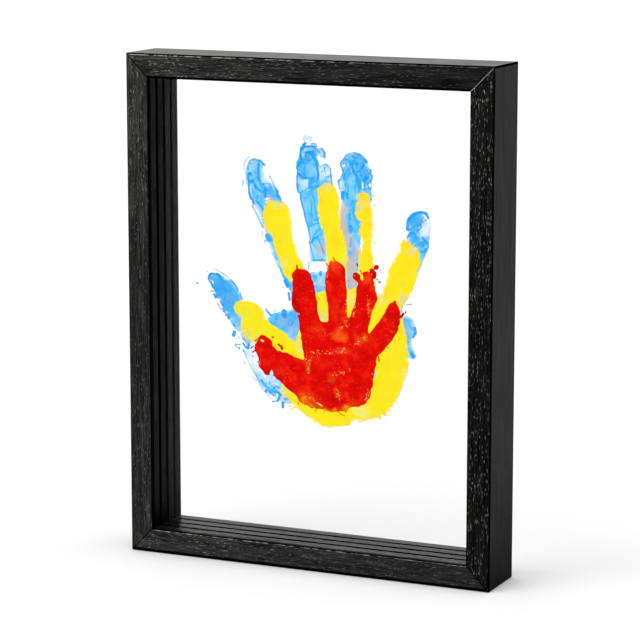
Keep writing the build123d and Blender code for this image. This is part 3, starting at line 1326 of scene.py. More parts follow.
def drop_tree() -> Tree:
    """Build the tree that puts a flat drop of paint on each point, made once.

    Returns:
        The tree, with inputs for the drops' half height, the seed and the paint.
    """
    name = "paint_drops"
    if name in bpy.data.node_groups:
        return bpy.data.node_groups[name]
    tree = bpy.data.node_groups.new(name, "GeometryNodeTree")
    for label, kind in (
        ("Points", "NodeSocketGeometry"),
        ("Half height", "NodeSocketFloat"),
        ("Seed", "NodeSocketInt"),
        ("Paint", "NodeSocketMaterial"),
    ):
        tree.interface.new_socket(label, in_out="INPUT", socket_type=kind)
    tree.interface.new_socket("Drops", in_out="OUTPUT", socket_type="NodeSocketGeometry")
    given = tree.nodes.new("NodeGroupInput").outputs
    size = add(tree, "GeometryNodeInputNamedAttribute", {"data_type": "FLOAT"}, Name="size")
    shape = add(tree, "ShaderNodeCombineXYZ", X=size, Y=given["Half height"], Z=size)
    stretch = add(
        tree, "FunctionNodeRandomValue", {"data_type": "FLOAT_VECTOR"}, Seed=given["Seed"],
        Min=DROP_LEAST, Max=DROP_MOST,
    )
    shape = add(tree, VECTOR_MATH, TIMES, Vector=shape, Vector_001=stretch)
    ball = add(tree, "GeometryNodeMeshIcoSphere", Radius=1.0, Subdivisions=2)
    drops = add(tree, "GeometryNodeInstanceOnPoints", Points=given["Points"], Instance=ball, Scale=shape)
    drops = add(tree, "GeometryNodeRealizeInstances", Geometry=drops)
    for label, value in DROP_PAINT.items():
        drops = add(
            tree, "GeometryNodeStoreNamedAttribute", {"data_type": "FLOAT", "domain": "POINT"},
            Geometry=drops, Name=label, Value=value,
        )
    drops = add(tree, "GeometryNodeSetShadeSmooth", Geometry=drops)
    drops = add(tree, "GeometryNodeSetMaterial", Geometry=drops, Material=given["Paint"])
    result = tree.nodes.new("NodeGroupOutput")
    tree.links.new(drops, result.inputs[0])
    return tree


RED_PRINT = Handprint(
    colour="red",
    body="front_pane",
    seed=11,
    paint=PosterPaint(
        name="red_poster_paint", thin="#ec3a12", body="#d70401", rich="#a20302", crease="#ffa866",
        mottle=0.18, mottle_size=6.0, speck_from=0.56, dot_cover=0.35,
    ),
    fingers=(
        # Index, middle and ring finger
        (
            Pad(-9, 190.5, 4.8), Pad(-5.5, 189.5, 5.6), Pad(-6, 184.5, 7.7), Pad(-5.5, 178, 8.5),
            Pad(-5, 173, 9), Pad(-2.5, 165, 7.2), Pad(0, 155.5, 8),
        ),
        (
            Pad(15.5, 199, 3.6), Pad(17, 195.5, 6.3), Pad(16.5, 190, 7.3), Pad(17, 183.5, 7.5),
            Pad(17.5, 177, 6.9), Pad(18, 172, 6.5), Pad(19, 159.5, 7),
        ),
        (
            Pad(38, 192, 4.5), Pad(38, 188, 5.7), Pad(37.5, 183.5, 6.7), Pad(38, 179.5, 7.2),
            Pad(36, 174.5, 6.3), Pad(33.5, 165.5, 6.9), Pad(31, 158, 7.7),
        ),
        # Blot beside the ring finger
        (Pad(31, 193, 2.4), Pad(32, 191, 1.5)),
        # Little finger
        (
            Pad(56.5, 174, 3.9), Pad(56, 171, 5.2), Pad(55.5, 167.5, 5.9), Pad(53.5, 163, 6.7),
            Pad(49, 157, 7), Pad(43.5, 150, 7),
        ),
        # Thumb, its tip and its outer edge
        (
            Pad(-31, 138, 6.6), Pad(-27.5, 134, 8), Pad(-19.5, 130.5, 9.8), Pad(-10.5, 126, 11.2),
            Pad(-1, 121, 12.6),
        ),
        (Pad(-31, 145.5, 3.2), Pad(-34.5, 147, 3.6), Pad(-36, 142, 4.3), Pad(-32.5, 137, 5.6)),
        (Pad(-34, 131.5, 4.3), Pad(-31.5, 127, 3)),
        # Heel of the palm
        (
            Pad(-7, 110.5, 2.4), Pad(-1, 107.5, 2.2), Pad(7, 106, 1.3), Pad(15.5, 105.5, 1.6),
            Pad(24, 107.5, 2.2),
        ),
    ),
    palm=(
        Pad(3.5, 150, 10.8), Pad(10, 130, 11.5), Pad(12, 119.5, 12.9), Pad(29.5, 121, 12.2),
        Pad(34, 144.5, 11.9), Pad(28, 155, 9.1),
    ),
    bare=(
        (Pad(-35.5, 147, 0.65), Pad(-34.5, 146.5, 0.45)), (Pad(-24.5, 144, 0.8), Pad(-24, 142, 1)),
        (Pad(-10.5, 166, 1), Pad(-9, 166, 0.6)), (Pad(-28.5, 125.5, 1.1), Pad(-28.5, 127, 0.6)),
        (Pad(34.5, 194.5, 0.8), Pad(35, 191.5, 0.6)),
    ),
    strokes=(
        Stroke(0.55, ((-10.5, 197.5), (-10, 194.5))),
        Stroke(0.85, ((-23.5, 145), (-21.5, 144), (-21, 142.5))), Stroke(1.5, ((44.5, 199.5), (45, 200))),
        Stroke(1.5, ((41.5, 197.5), (43.5, 196), (43.5, 194))),
        Stroke(0.75, ((61.5, 169), (63.5, 171.5))), Stroke(0.3, ((65.5, 177.5), (68.5, 178))),
        Stroke(0.9, ((57.5, 178.5), (57.5, 177))), Stroke(0.4, ((-40.5, 146), (-38, 148))),
        Stroke(0.35, ((-43.5, 141), (-41, 143))), Stroke(0.55, ((-42, 138.5), (-39.5, 140.5))),
        Stroke(0.4, ((-38.5, 132.5), (-37, 133.5))), Stroke(0.35, ((10, 200.5), (11, 199))),
        Stroke(0.4, ((31.5, 201.5), (32, 200))), Stroke(0.35, ((34, 197), (34.5, 195))),
        Stroke(0.5, ((46.5, 143), (47, 139.5))), Stroke(0.35, ((52, 150), (53, 148.5))),
        Stroke(0.35, ((18, 105), (20.5, 103), (23, 102.5))), Stroke(0.3, ((9.5, 105), (8.5, 102.5))),
        Stroke(0.3, ((3.5, 106), (2.5, 103.5))), Stroke(0.3, ((21.5, 106), (24, 104.5))),
        Stroke(0.35, ((-10, 109), (-9.5, 107))), Stroke(0.35, ((15, 204), (16.5, 202))),
        Stroke(0.3, ((7, 202.5), (9.5, 201.5))),
    ),
    covers=(
        Patch(19, 154.5, 4, -0.06), Patch(22.5, 152, 2, -0.08), Patch(33.5, 152, 3, -0.08),
        Patch(36.5, 154, 1.5, -0.15), Patch(-5, 109, 5, -0.2), Patch(1, 105, 3, -0.2),
        Patch(9, 103.5, 3, -0.5), Patch(16, 104, 2, -0.3), Patch(25, 106, 3.5, -0.35),
        Patch(-2, 132, 2, -0.2), Patch(13.5, 125.5, 3, -0.06), Patch(18, 116.5, 2, -0.08),
        Patch(-5.5, 111, 1.5, -0.2), Patch(-38, 133, 1.5, -0.3), Patch(40, 178.5, 1.5, -0.12),
        Patch(40.5, 171, 1.5, -0.14), Patch(10.5, 197, 1.5, -0.25), Patch(24, 164.5, 2, -0.1),
        Patch(56.5, 160.5, 1, -0.15), Patch(15.5, 204, 2, -0.45), Patch(8.5, 202, 2, -0.45),
    ),
    tones=(
        Patch(-13, 176, 3, 0.42), Patch(-10.5, 170, 3, 0.25), Patch(-6, 186.5, 6.5, 0.14),
        Patch(-0.5, 177.5, 4, 0.12), Patch(15.5, 200.5, 3.5, -0.5), Patch(18.5, 197.5, 3, -0.3),
        Patch(10.5, 196, 2, -0.35), Patch(13, 184.5, 3, -0.22), Patch(20.5, 169.5, 3, -0.15),
        Patch(38.5, 192, 3.5, -0.5), Patch(42.5, 187, 2, -0.35), Patch(36.5, 183, 3, 0.2),
        Patch(43, 194, 2, 0.4), Patch(31, 193, 2, 0.25), Patch(56.5, 169.5, 4, 0.2),
        Patch(59, 164, 2, 0.35), Patch(51, 166.5, 2, -0.4), Patch(4.5, 156.5, 5, -0.2),
        Patch(19.5, 154.5, 4.5, -0.5), Patch(24, 144, 3, -0.3), Patch(-3.5, 136.5, 3.5, -0.3),
        Patch(-34.5, 144, 3.5, 0.15), Patch(-31, 126.5, 3, 0.25), Patch(-23, 123, 2, 0.3),
        Patch(13, 113, 5.5, 0.15), Patch(10, 121.5, 5.5, 0.1), Patch(30.5, 121, 5.5, 0.12),
        Patch(36.5, 142.5, 4, 0.1), Patch(-2, 113.5, 5, -0.25), Patch(27.5, 111, 3.5, -0.25),
    ),
    creases=(
        Stroke(0.7, ((0, 141.5), (7, 142.5), (13.5, 142.5), (23.5, 144))),
        Stroke(0.5, ((13.5, 145.5), (23.5, 146))), Stroke(0.7, ((-4, 138), (-2, 132.5), (-2.5, 128))),
        Stroke(0.55, ((-0.5, 138), (-3, 134))), Stroke(0.7, ((17, 118.5), (18, 115), (20, 113))),
        Stroke(0.65, ((15.5, 128.5), (20, 130))), Stroke(0.55, ((22.5, 130), (26, 132.5))),
        Stroke(0.55, ((-0.5, 112), (4.5, 108.5))), Stroke(0.65, ((38, 114.5), (40.5, 120))),
        Stroke(0.55, ((20.5, 159), (25.5, 161.5))), Stroke(0.65, ((31, 149.5), (36.5, 154))),
        Stroke(0.35, ((10.5, 194.5), (10.5, 187))), Stroke(0.4, ((39.5, 176.5), (40, 168.5))),
        Stroke(0.35, ((30, 174), (29, 168))), Stroke(0.4, ((24, 177.5), (24.5, 166.5))),
        Stroke(0.4, ((9, 156.5), (9.5, 154.5))), Stroke(0.4, ((43, 132.5), (42, 127))),
    ),
    drops=(
        Pad(-27.5, 149.5, 0.8), Pad(-29.5, 147.5, 0.5), Pad(47.5, 198, 0.5), Pad(45.5, 192, 0.6),
        Pad(47, 190.5, 0.8), Pad(62.5, 176.5, 0.3), Pad(-42, 136, 0.6), Pad(40, 203, 0.4),
        Pad(65, 172.5, 0.7), Pad(64.5, 168.5, 0.4), Pad(5, 177, 0.4), Pad(26, 190, 0.4),
    ),
    ragged=0.7,
    teeth=0.4,
    teeth_size=(1.6, 1.6),
    step=0.36,
    web=2.0,
)

YELLOW_PRINT = Handprint(
    colour="yellow",
    body="middle_pane",
    seed=23,
    paint=PosterPaint(
        name="yellow_poster_paint", thin="#e2dc30", body="#f9e004", rich="#f8ce07", crease="#c9c27a",
        mottle=0.36, mottle_size=5.0, mottle_rise=2.0,
    ),
    fingers=(
        # Thumb's tip and thumb
        (
            Pad(-55.5, 165, 4.6), Pad(-49.5, 163, 7.6), Pad(-44.5, 161, 6.6), Pad(-46, 155, 9.3),
            Pad(-47.5, 149.5, 7.1),
        ),
        (
            Pad(-43.5, 153.5, 8.4), Pad(-38.5, 150, 7.1), Pad(-30.5, 147, 7), Pad(-22, 142, 6.6),
            Pad(-12, 135.5, 7),
        ),
        # Index, middle, ring and little finger
        (
            Pad(-32.5, 232, 5.6), Pad(-29.5, 227.5, 9.7), Pad(-29, 223, 9.9), Pad(-25.5, 217.5, 7.6),
            Pad(-24, 211.5, 7.4), Pad(-22.5, 205, 7.6), Pad(-20.5, 199, 7.9), Pad(-18, 194, 7.8),
            Pad(-13.5, 187, 6.3), Pad(-8.5, 179, 5.6),
        ),
        (
            Pad(6, 246.5, 4.4), Pad(6, 243, 7), Pad(7.5, 238.5, 7.8), Pad(7, 233.5, 8.7),
            Pad(8, 228.5, 8), Pad(8.5, 223.5, 6.7), Pad(10.5, 217.5, 6.9), Pad(12, 212, 7.4),
            Pad(12.5, 206, 7.7), Pad(13, 199.5, 7.7), Pad(14, 181.5, 7),
        ),
        (
            Pad(31.5, 241.5, 4.9), Pad(31.5, 236, 5.6), Pad(32, 231.5, 5.7), Pad(33.5, 227.5, 4.8),
            Pad(33.5, 223, 4.9), Pad(33.5, 217.5, 3.9), Pad(34.5, 213.5, 3.1), Pad(33.5, 209, 3.9),
            Pad(33.5, 203.5, 5.6), Pad(33.5, 197, 5.6), Pad(34, 183, 7),
        ),
        (
            Pad(60.5, 215.5, 2.4), Pad(61, 212, 5.2), Pad(62.5, 208, 7.1), Pad(61.5, 203, 8.7),
            Pad(59.5, 197, 9.2), Pad(57.5, 191, 9.5), Pad(53, 181, 9.1),
        ),
    ),
    palm=(
        Pad(2.5, 171, 9.4), Pad(23.5, 174.5, 9.1), Pad(48.5, 170, 9.8), Pad(46.5, 151.5, 11.9),
        Pad(48, 137.5, 15.4), Pad(40, 115.5, 14.4), Pad(21, 109, 14.9), Pad(5.5, 106.5, 15.3),
        Pad(-18, 115, 8.8), Pad(-12, 135.5, 6.3),
    ),
    bare=(
        (Pad(24.5, 95, 1.5), Pad(27.5, 97, 0.8)), (Pad(41.5, 98.5, 1.4), Pad(45, 101.5, 1.4)),
        (Pad(-27, 122, 1), Pad(-25, 120, 0.7)),
    ),
    strokes=(
        Stroke(0.65, ((-19.5, 100.5), (-16, 103))), Stroke(0.55, ((38.5, 238), (40, 237.5))),
        Stroke(0.55, ((39.5, 227.5), (40.5, 227))), Stroke(0.5, ((39, 223), (40, 222))),
        Stroke(0.55, ((38.5, 218.5), (39.5, 217))), Stroke(0.5, ((39.5, 215), (39.5, 213))),
        Stroke(0.75, ((38, 103), (39.5, 99.5))), Stroke(0.85, ((42.5, 104), (43.5, 100.5))),
        Stroke(0.7, ((46, 105), (47.5, 102.5))), Stroke(0.5, ((49.5, 107), (51, 105.5))),
        Stroke(0.5, ((-24, 233.5), (-21.5, 233))), Stroke(0.5, ((54, 112), (55.5, 111))),
    ),
    covers=(
        Patch(28.5, 236, 3.5, -0.22), Patch(34.5, 239, 2, -0.15), Patch(27, 241.5, 2, -0.25),
        Patch(-29.5, 235.5, 3.5, -0.2), Patch(6, 248, 3.5, -0.2), Patch(-51, 147, 4, -0.2),
        Patch(-11.5, 142, 4, -0.18), Patch(-22, 116, 3.5, -0.18), Patch(-23.5, 112, 2, -0.2),
        Patch(44, 178.5, 4, -0.15), Patch(58.5, 179, 3, -0.3), Patch(49, 153, 4, -0.12),
        Patch(3.5, 162.5, 3.5, -0.25), Patch(22.5, 176, 4, -0.12), Patch(31, 103.5, 5, -0.15),
        Patch(0, 196.5, 3, -0.2), Patch(19, 200, 2, -0.2), Patch(65, 211, 3, -0.25),
        Patch(39, 128.5, 2, -0.3), Patch(-23.5, 196, 3, -0.12), Patch(61.5, 132, 3, -0.15),
    ),
    tones=(
        Patch(-53.5, 164.5, 3, -0.45), Patch(-51, 162, 4, -0.3), Patch(-46.5, 149, 5.5, -0.35),
        Patch(-29.5, 231.5, 6.5, 0.15), Patch(-25.5, 214, 4, -0.15), Patch(31, 242, 3.5, 0.4),
        Patch(34.5, 233, 3, 0.3), Patch(27.5, 235.5, 3.5, -0.4), Patch(36, 225, 2, 0.35),
        Patch(59.5, 188.5, 3, -0.35), Patch(53.5, 184.5, 4, 0.2), Patch(61.5, 194.5, 2, -0.3),
        Patch(49, 148.5, 5, -0.25), Patch(55, 131.5, 5, -0.2), Patch(31, 103.5, 5.5, -0.35),
        Patch(2.5, 166.5, 4, -0.3), Patch(-20, 136.5, 3.5, 0.2), Patch(7, 236.5, 6.5, 0.12),
        Patch(12, 212, 5.5, 0.12), Patch(-23.5, 114.5, 3.5, -0.3), Patch(19, 100.5, 5.5, 0.1),
    ),
    drops=(
        Pad(-22.5, 233.5, 0.7), Pad(41, 233, 0.5), Pad(42, 230.5, 0.3), Pad(40.5, 212, 0.4),
        Pad(67, 181.5, 0.4), Pad(-20, 103, 0.7), Pad(49, 103, 0.5), Pad(51, 109, 0.6), Pad(-33, 123, 0.4),
        Pad(64.5, 185, 0.5), Pad(39.5, 209, 0.3),
    ),
    base_cover=0.995,
    edge_fade=0.85,
    ragged=1.3,
    teeth=0.8,
    teeth_size=(1.9, 1.5),
    step=0.5,
)

BLUE_PRINT = Handprint(
    colour="blue",
    body="back_pane",
    seed=37,
    paint=PosterPaint(
        name="blue_poster_paint", thin="#a2dffe", body="#38bbfa", rich="#009ef0", crease="#c6b6af",
        mottle=0.2, mottle_size=5.0, speck_size=3.0, speck_from=0.25, lobe_size=9.0, lobe_tone=0.18,
    ),
    fingers=(
        # Thumb
        (
            Pad(-80.5, 182, 3), Pad(-76.5, 178.5, 5.6), Pad(-71, 173.5, 8.1), Pad(-67.5, 168, 8.1),
            Pad(-65.5, 162, 7.1), Pad(-62.5, 156, 6.3), Pad(-57, 150, 6.3), Pad(-50.5, 141, 6.3),
        ),
        # Index finger
        (
            Pad(-49, 256.5, 5.3), Pad(-50, 252.5, 6.4), Pad(-49, 247.5, 7.1), Pad(-46, 243, 8.4),
            Pad(-42.5, 238, 9.4), Pad(-40, 233, 9.9), Pad(-37.5, 225, 8.8), Pad(-34, 215, 7.7),
            Pad(-29.5, 202, 8), Pad(-24, 190, 7.3), Pad(-18, 178, 6.6), Pad(-13, 164, 9.1),
        ),
        # Middle finger, its smeared side and the blots at its tip
        (
            Pad(-11.5, 268.5, 5.7), Pad(-11.5, 264, 6.3), Pad(-11.5, 258.5, 8.1), Pad(-11, 253, 8.4),
            Pad(-10.5, 247, 9.4), Pad(-9, 240.5, 8.4), Pad(-8, 234, 7.8), Pad(-7, 227, 7.4),
            Pad(-5.5, 219, 6.6), Pad(-4.5, 211.5, 6.3), Pad(-4, 201.5, 6.3), Pad(-3, 182, 7.7),
        ),
        (Pad(0.5, 257.5, 3.6), Pad(1, 250.5, 4.3), Pad(-0.5, 243, 6.3)),
        (Pad(-12.5, 276, 2.3), Pad(-10, 276.5, 1.8)), (Pad(-3, 268.5, 2.4), Pad(-1.5, 266.5, 1.8)),
        # Ring and little finger
        (
            Pad(19, 262, 7.1), Pad(21.5, 260.5, 8.7), Pad(22.5, 255.5, 9.9), Pad(21.5, 249, 11.3),
            Pad(22, 242, 10.9), Pad(19.5, 232.5, 8.4), Pad(18, 222.5, 7.7), Pad(18, 209.5, 7),
            Pad(19.5, 197, 7.7), Pad(23.5, 179.5, 9.1),
        ),
        (
            Pad(64, 228, 6), Pad(65.5, 223, 7), Pad(65.5, 216.5, 7.3), Pad(62, 206, 7.7),
            Pad(58, 193, 6.3), Pad(50, 176, 6.3),
        ),
        # Smears at the palm's right edge
        (Pad(57, 160.5, 5.9), Pad(59, 156.5, 4.6)),
        (Pad(55.5, 150.5, 4.9), Pad(59, 144.5, 3.6), Pad(61.5, 141, 2.5)),
    ),
    palm=(
        Pad(-17.5, 159.5, 6.6), Pad(-34.5, 155.5, 5.9), Pad(-46.5, 135, 9.8), Pad(-37.5, 118, 11.2),
        Pad(-27, 112.5, 10.1), Pad(11, 117.5, 14), Pad(44.5, 143.5, 14), Pad(44.5, 169.5, 9.8),
    ),
    bare=(
        (Pad(-16, 192.5, 3.2), Pad(-4.5, 194, 3.4), Pad(1, 194.5, 3.2)),
        (Pad(1.5, 263, 1.5), Pad(4.5, 263, 1.5)), (Pad(31.5, 249, 1), Pad(31.5, 248.5, 0.8)),
        (Pad(26.5, 249, 0.6), Pad(26.5, 247, 0.7)), (Pad(13.5, 260.5, 0.7),),
        (Pad(-40.5, 236.5, 0.8), Pad(-41.5, 236, 0.7)), (Pad(-82, 181, 0.3), Pad(-80, 178, 0.5)),
        (Pad(-75, 163.5, 0.3), Pad(-73.5, 162, 0.3)), (Pad(-78, 167, 0.9), Pad(-75.5, 167.5, 0.3)),
        (Pad(-72.5, 158.5, 0.9), Pad(-70.5, 159.5, 0.3)), (Pad(-69, 153.5, 0.8), Pad(-67, 154.5, 0.3)),
        (Pad(-34, 107.5, 0.6), Pad(-34, 105.5, 0.6)), (Pad(-40.5, 108.5, 0.3), Pad(-37, 106.5, 0.3)),
        (Pad(-35, 114, 0.6), Pad(-34, 114.5, 0.6)),
    ),
    ridges=(
        # Index finger
        Stroke(0.35, ((-53.5, 262.5), (-55, 262), (-56.5, 260), (-57.5, 258)), 0.7, 0.45),
        Stroke(0.35, ((-57.5, 256.5), (-57.5, 253.5)), 0.6, 0.3),
        Stroke(0.5, ((-54.5, 255), (-54.5, 257), (-53.5, 259.5), (-52.5, 261), (-49, 261.5)), 0.8, 0.6),
        Stroke(0.65, ((-48, 260.5), (-46, 261), (-44.5, 260), (-43, 258)), 0.95, 0.8),
        Stroke(0.55, (
            (-47.5, 258), (-46.5, 258.5), (-47, 256.5), (-47, 253.5), (-47, 250), (-46, 247.5),
            (-45.5, 245.5), (-43, 245.5),
        )),
        Stroke(0.65, (
            (-52.5, 252), (-54, 252), (-54.5, 249.5), (-54, 247.5), (-52.5, 246), (-51, 247.5),
        )),
        Stroke(0.75, ((-51, 247.5), (-50, 245.5), (-49.5, 244), (-48, 242.5))),
        Stroke(0.5, ((-48, 242.5), (-46, 241), (-44, 240), (-43, 240.5)), 0.95, 0.8),
        Stroke(0.5, ((-54, 245.5), (-54, 243), (-54, 240), (-53, 237), (-52, 235))),
        Stroke(0.65, ((-53, 236.5), (-51.5, 235), (-50.5, 232.5))),
        Stroke(0.55, ((-42.5, 243), (-42.5, 240.5), (-42, 237))),
        Stroke(0.35, ((-41.5, 246), (-39.5, 246), (-38.5, 245), (-38.5, 242.5)), 0.7, 0.6),
        Stroke(0.4, ((-39, 251), (-37.5, 248.5), (-36, 245.5), (-34.5, 243.5)), 0.6, 0.6),
        Stroke(0.65, ((-34.5, 243), (-33.5, 241.5), (-33, 238.5), (-32, 237))),
        Stroke(0.4, ((-32, 237), (-30, 234.5), (-28.5, 233)), 0.7, 0.6),
        Stroke(0.5, ((-41, 237.5), (-38.5, 238), (-36, 238), (-35.5, 239.5)), 0.75, 0.7),
        Stroke(0.4, ((-47.5, 238), (-48, 235), (-47, 232.5), (-45, 231), (-43.5, 228.5)), 0.85, 0.7),
        Stroke(0.5, ((-58, 247), (-58.5, 244)), 0.6, 0.5),
        Stroke(0.4, ((-51.5, 231), (-48.5, 226), (-46, 221), (-44, 217)), 0.75, 0.65),
        Stroke(1.05, ((-41.5, 212), (-40, 209)), 0.85, 0.85),
        Stroke(0.4, ((-43, 208), (-41.5, 209)), 0.7, 0.6),
        Stroke(0.35, ((-44.5, 215), (-44, 211.5)), 0.6, 0.35),
        Stroke(1.25, ((-38.5, 212.5), (-38, 210)), 0.6, 0.8),
        # Middle finger
        Stroke(0.65, ((-13.5, 273.5), (-15, 272.5), (-16, 270.5), (-17, 268))),
        Stroke(0.9, ((-14.5, 272), (-15.5, 270))),
        Stroke(0.7, ((-17, 268.5), (-17, 266), (-16.5, 263.5), (-16.5, 262))),
        Stroke(0.75, ((-16.5, 262), (-18, 260), (-19.5, 257.5))),
        Stroke(0.55, ((-19.5, 257.5), (-19, 255), (-19.5, 251.5), (-19.5, 248), (-19.5, 245))),
        Stroke(0.5, ((-19.5, 245), (-19, 243), (-18.5, 241.5)), 0.9, 0.8),
        Stroke(0.55, ((-14, 271), (-11.5, 271.5), (-9.5, 272), (-7, 271.5))),
        Stroke(0.35, ((-7, 271.5), (-5.5, 270), (-3.5, 268)), 0.8, 0.7),
        Stroke(0.4, ((-9, 273.5), (-7, 273.5), (-6, 273), (-5.5, 271.5)), 0.85, 0.7),
        Stroke(1.2, ((-13, 267.5), (-11, 267.5), (-9, 267.5))),
        Stroke(1.05, ((-9, 267.5), (-8, 265), (-6.5, 263))),
        Stroke(0.75, ((-13, 267.5), (-13.5, 265)), 0.8, 0.8),
        Stroke(0.4, ((-16, 263), (-14, 263), (-12, 262.5)), 0.85, 0.7),
        Stroke(0.4, ((-16.5, 261), (-14, 261)), 0.8, 0.7),
        Stroke(0.55, ((-6.5, 262.5), (-5.5, 260), (-5, 257.5), (-4.5, 255), (-4.5, 253), (-5, 250.5))),
        Stroke(0.55, ((-2, 270.5), (-1, 269.5), (0, 268), (0, 265)), 0.85, 0.8),
        Stroke(0.9, ((-18, 253.5), (-16.5, 252.5), (-15, 251))),
        Stroke(0.65, ((-15, 251), (-13, 251), (-11.5, 251))),
        Stroke(0.4, ((-15.5, 254.5), (-14, 253), (-12.5, 251.5)), 0.9, 0.8),
        Stroke(0.55, ((-11, 245), (-11, 247.5), (-10.5, 250), (-9, 251.5), (-7, 252))),
        Stroke(1.2, ((-9.5, 248), (-8, 249.5)), 0.85, 0.85),
        Stroke(0.85, ((-9.5, 246), (-8, 245)), 0.75, 0.8),
        Stroke(0.35, ((-16.5, 241.5), (-15, 243), (-13, 244), (-11, 245)), 0.7, 0.7),
        Stroke(0.5, ((-17, 241), (-17, 238), (-16.5, 235.5), (-15.5, 232.5))),
        Stroke(0.4, ((-15.5, 232.5), (-13, 224), (-11.5, 219)), 0.9, 0.8),
        Stroke(0.4, ((-11.5, 219), (-10, 212), (-11, 209.5), (-9, 204), (-7.5, 198.5)), 0.8, 0.75),
        Stroke(0.35, (
            (-9.5, 245.5), (-9, 243), (-8.5, 240.5), (-7.5, 238), (-6.5, 232), (-5, 224.5),
        ), 0.85, 0.75),
        Stroke(0.4, ((4, 258.5), (4, 256.5), (4.5, 254), (5, 250), (5.5, 246.5)), 0.7, 0.75),
        Stroke(0.35, ((0, 258.5), (0, 256.5)), 0.9, 0.8),
        Stroke(0.3, ((-2.5, 255.5), (-1.5, 256)), 0.8, 0.6),
        Stroke(0.3, ((0.5, 252.5), (3, 253), (3.5, 253.5)), 0.6, 0.6),
        Stroke(0.55, ((-6, 246), (-3, 246.5)), 0.95, 0.85),
        Stroke(0.4, ((-11.5, 219), (-8, 221.5), (-4.5, 222.5)), 0.85, 0.75),
        Stroke(0.55, ((-9.5, 209.5), (-8, 212), (-4.5, 214)), 0.95, 0.85),
        Stroke(0.4, ((-4.5, 212.5), (-2.5, 208.5), (-0.5, 203.5)), 0.9, 0.8),
        Stroke(0.5, ((-8, 198), (-2.5, 198.5)), 0.9, 0.8),
        Stroke(0.3, ((-9, 235), (-9.5, 227)), 0.7, 0.6),
        Stroke(0.35, ((-11, 196.5), (-11.5, 192.5)), 0.75, 0.7),
        Stroke(1, ((-3, 190.5), (-3, 189)), 0.95, 0.9),
        # Ring finger
        Stroke(0.5, (
            (13, 256.5), (12, 259), (11, 261.5), (12, 263.5), (13.5, 264.5), (16, 264.5),
        ), 0.9, 0.8),
        Stroke(0.35, ((12.5, 261), (13, 262), (14, 262), (15.5, 260.5)), 0.85, 0.75),
        Stroke(0.65, ((17.5, 264), (18.5, 262), (19.5, 259.5), (20.5, 257))),
        Stroke(1.1, ((20.5, 257), (21.5, 255.5), (22.5, 254.5)), 0.95, 0.9),
        Stroke(0.65, ((22.5, 254.5), (23.5, 252.5), (24.5, 251), (25, 249), (25, 246.5))),
        Stroke(0.55, ((19.5, 263.5), (21, 264))),
        Stroke(0.35, ((22, 263), (22.5, 261.5), (22.5, 259)), 0.85, 0.75),
        Stroke(0.5, ((21.5, 266), (22.5, 266))), Stroke(0.35, ((19, 267), (20, 266.5)), 0.7, 0.6),
        Stroke(0.35, ((23.5, 268), (25, 268)), 0.7, 0.6),
        Stroke(0.5, ((27.5, 265), (29, 264), (29.5, 263.5)), 0.95, 0.85),
        Stroke(0.55, ((27, 262), (27, 260), (25.5, 259))),
        Stroke(0.55, ((24.5, 257.5), (23, 257), (21, 256.5))), Stroke(0.65, ((25, 255), (25.5, 254.5))),
        Stroke(0.5, ((28.5, 255), (28.5, 254))),
        Stroke(0.35, ((29.5, 258.5), (30.5, 257), (30, 256)), 0.85, 0.75),
        Stroke(0.55, ((32, 258.5), (32, 256)), 0.95, 0.85),
        Stroke(0.5, ((33, 255), (33, 253), (32, 251.5), (31, 250.5)), 0.9, 0.8),
        Stroke(1.2, ((27.5, 252), (29.5, 253)), 0.95, 0.9),
        Stroke(0.5, ((30, 250), (30.5, 248), (31.5, 246.5)), 0.9, 0.8),
        Stroke(0.55, ((22, 252.5), (22.5, 250.5), (23.5, 248.5), (24, 246), (24, 244))),
        Stroke(0.4, ((28, 251), (28, 249), (28, 246.5))),
        Stroke(0.4, ((24.5, 245.5), (27, 246), (29, 246), (31, 247)), 0.8, 0.75),
        Stroke(0.35, ((13.5, 255.5), (13.5, 252.5), (14.5, 250), (14.5, 247)), 0.8, 0.7),
        Stroke(0.55, ((10, 251), (9.5, 250), (10, 248))),
        Stroke(0.35, ((10, 248), (10.5, 245)), 0.6, 0.6), Stroke(1.1, ((12.5, 242.5), (12.5, 239.5))),
        Stroke(0.65, ((15.5, 243), (16, 239.5))), Stroke(0.4, ((12, 243.5), (15, 243.5)), 0.8, 0.8),
        Stroke(0.4, ((21.5, 248.5), (21.5, 243.5)), 0.6, 0.6),
        Stroke(0.4, ((32, 243.5), (33.5, 242)), 0.7, 0.6),
        Stroke(0.4, ((18, 235), (19, 236), (19.5, 238.5)), 0.55, 0.6),
        Stroke(0.5, ((17.5, 230), (18, 226.5)), 0.85, 0.75),
        Stroke(0.5, ((17.5, 222), (18.5, 217.5)), 0.85, 0.75),
        Stroke(0.55, ((18.5, 214), (18, 208.5)), 0.85, 0.75),
        # Little finger
        Stroke(0.85, ((63, 232.5), (66.5, 233.5), (70, 233), (71.5, 230.5))),
        Stroke(1, ((57.5, 222.5), (57.5, 225.5), (58.5, 229), (61.5, 231.5))),
        Stroke(0.55, ((57.5, 221.5), (60, 222.5))),
        Stroke(0.65, ((57.5, 217), (59.5, 220), (63, 219.5)), 0.95, 0.85),
        Stroke(0.4, ((64, 225), (66.5, 226), (67, 224), (65, 222)), 0.85, 0.75),
        Stroke(0.35, ((70, 229), (70.5, 228.5))),
        Stroke(0.5, ((68, 217.5), (70.5, 214.5), (72, 213), (71.5, 211), (69.5, 210))),
        Stroke(0.4, ((69, 215.5), (68, 212)), 0.9, 0.8),
        Stroke(0.4, ((62, 212), (64.5, 212.5), (67.5, 214.5)), 0.8, 0.75),
        Stroke(0.35, ((64.5, 217.5), (66.5, 216)), 0.75, 0.7),
        Stroke(0.55, ((67.5, 208.5), (71, 209)), 0.85, 0.8),
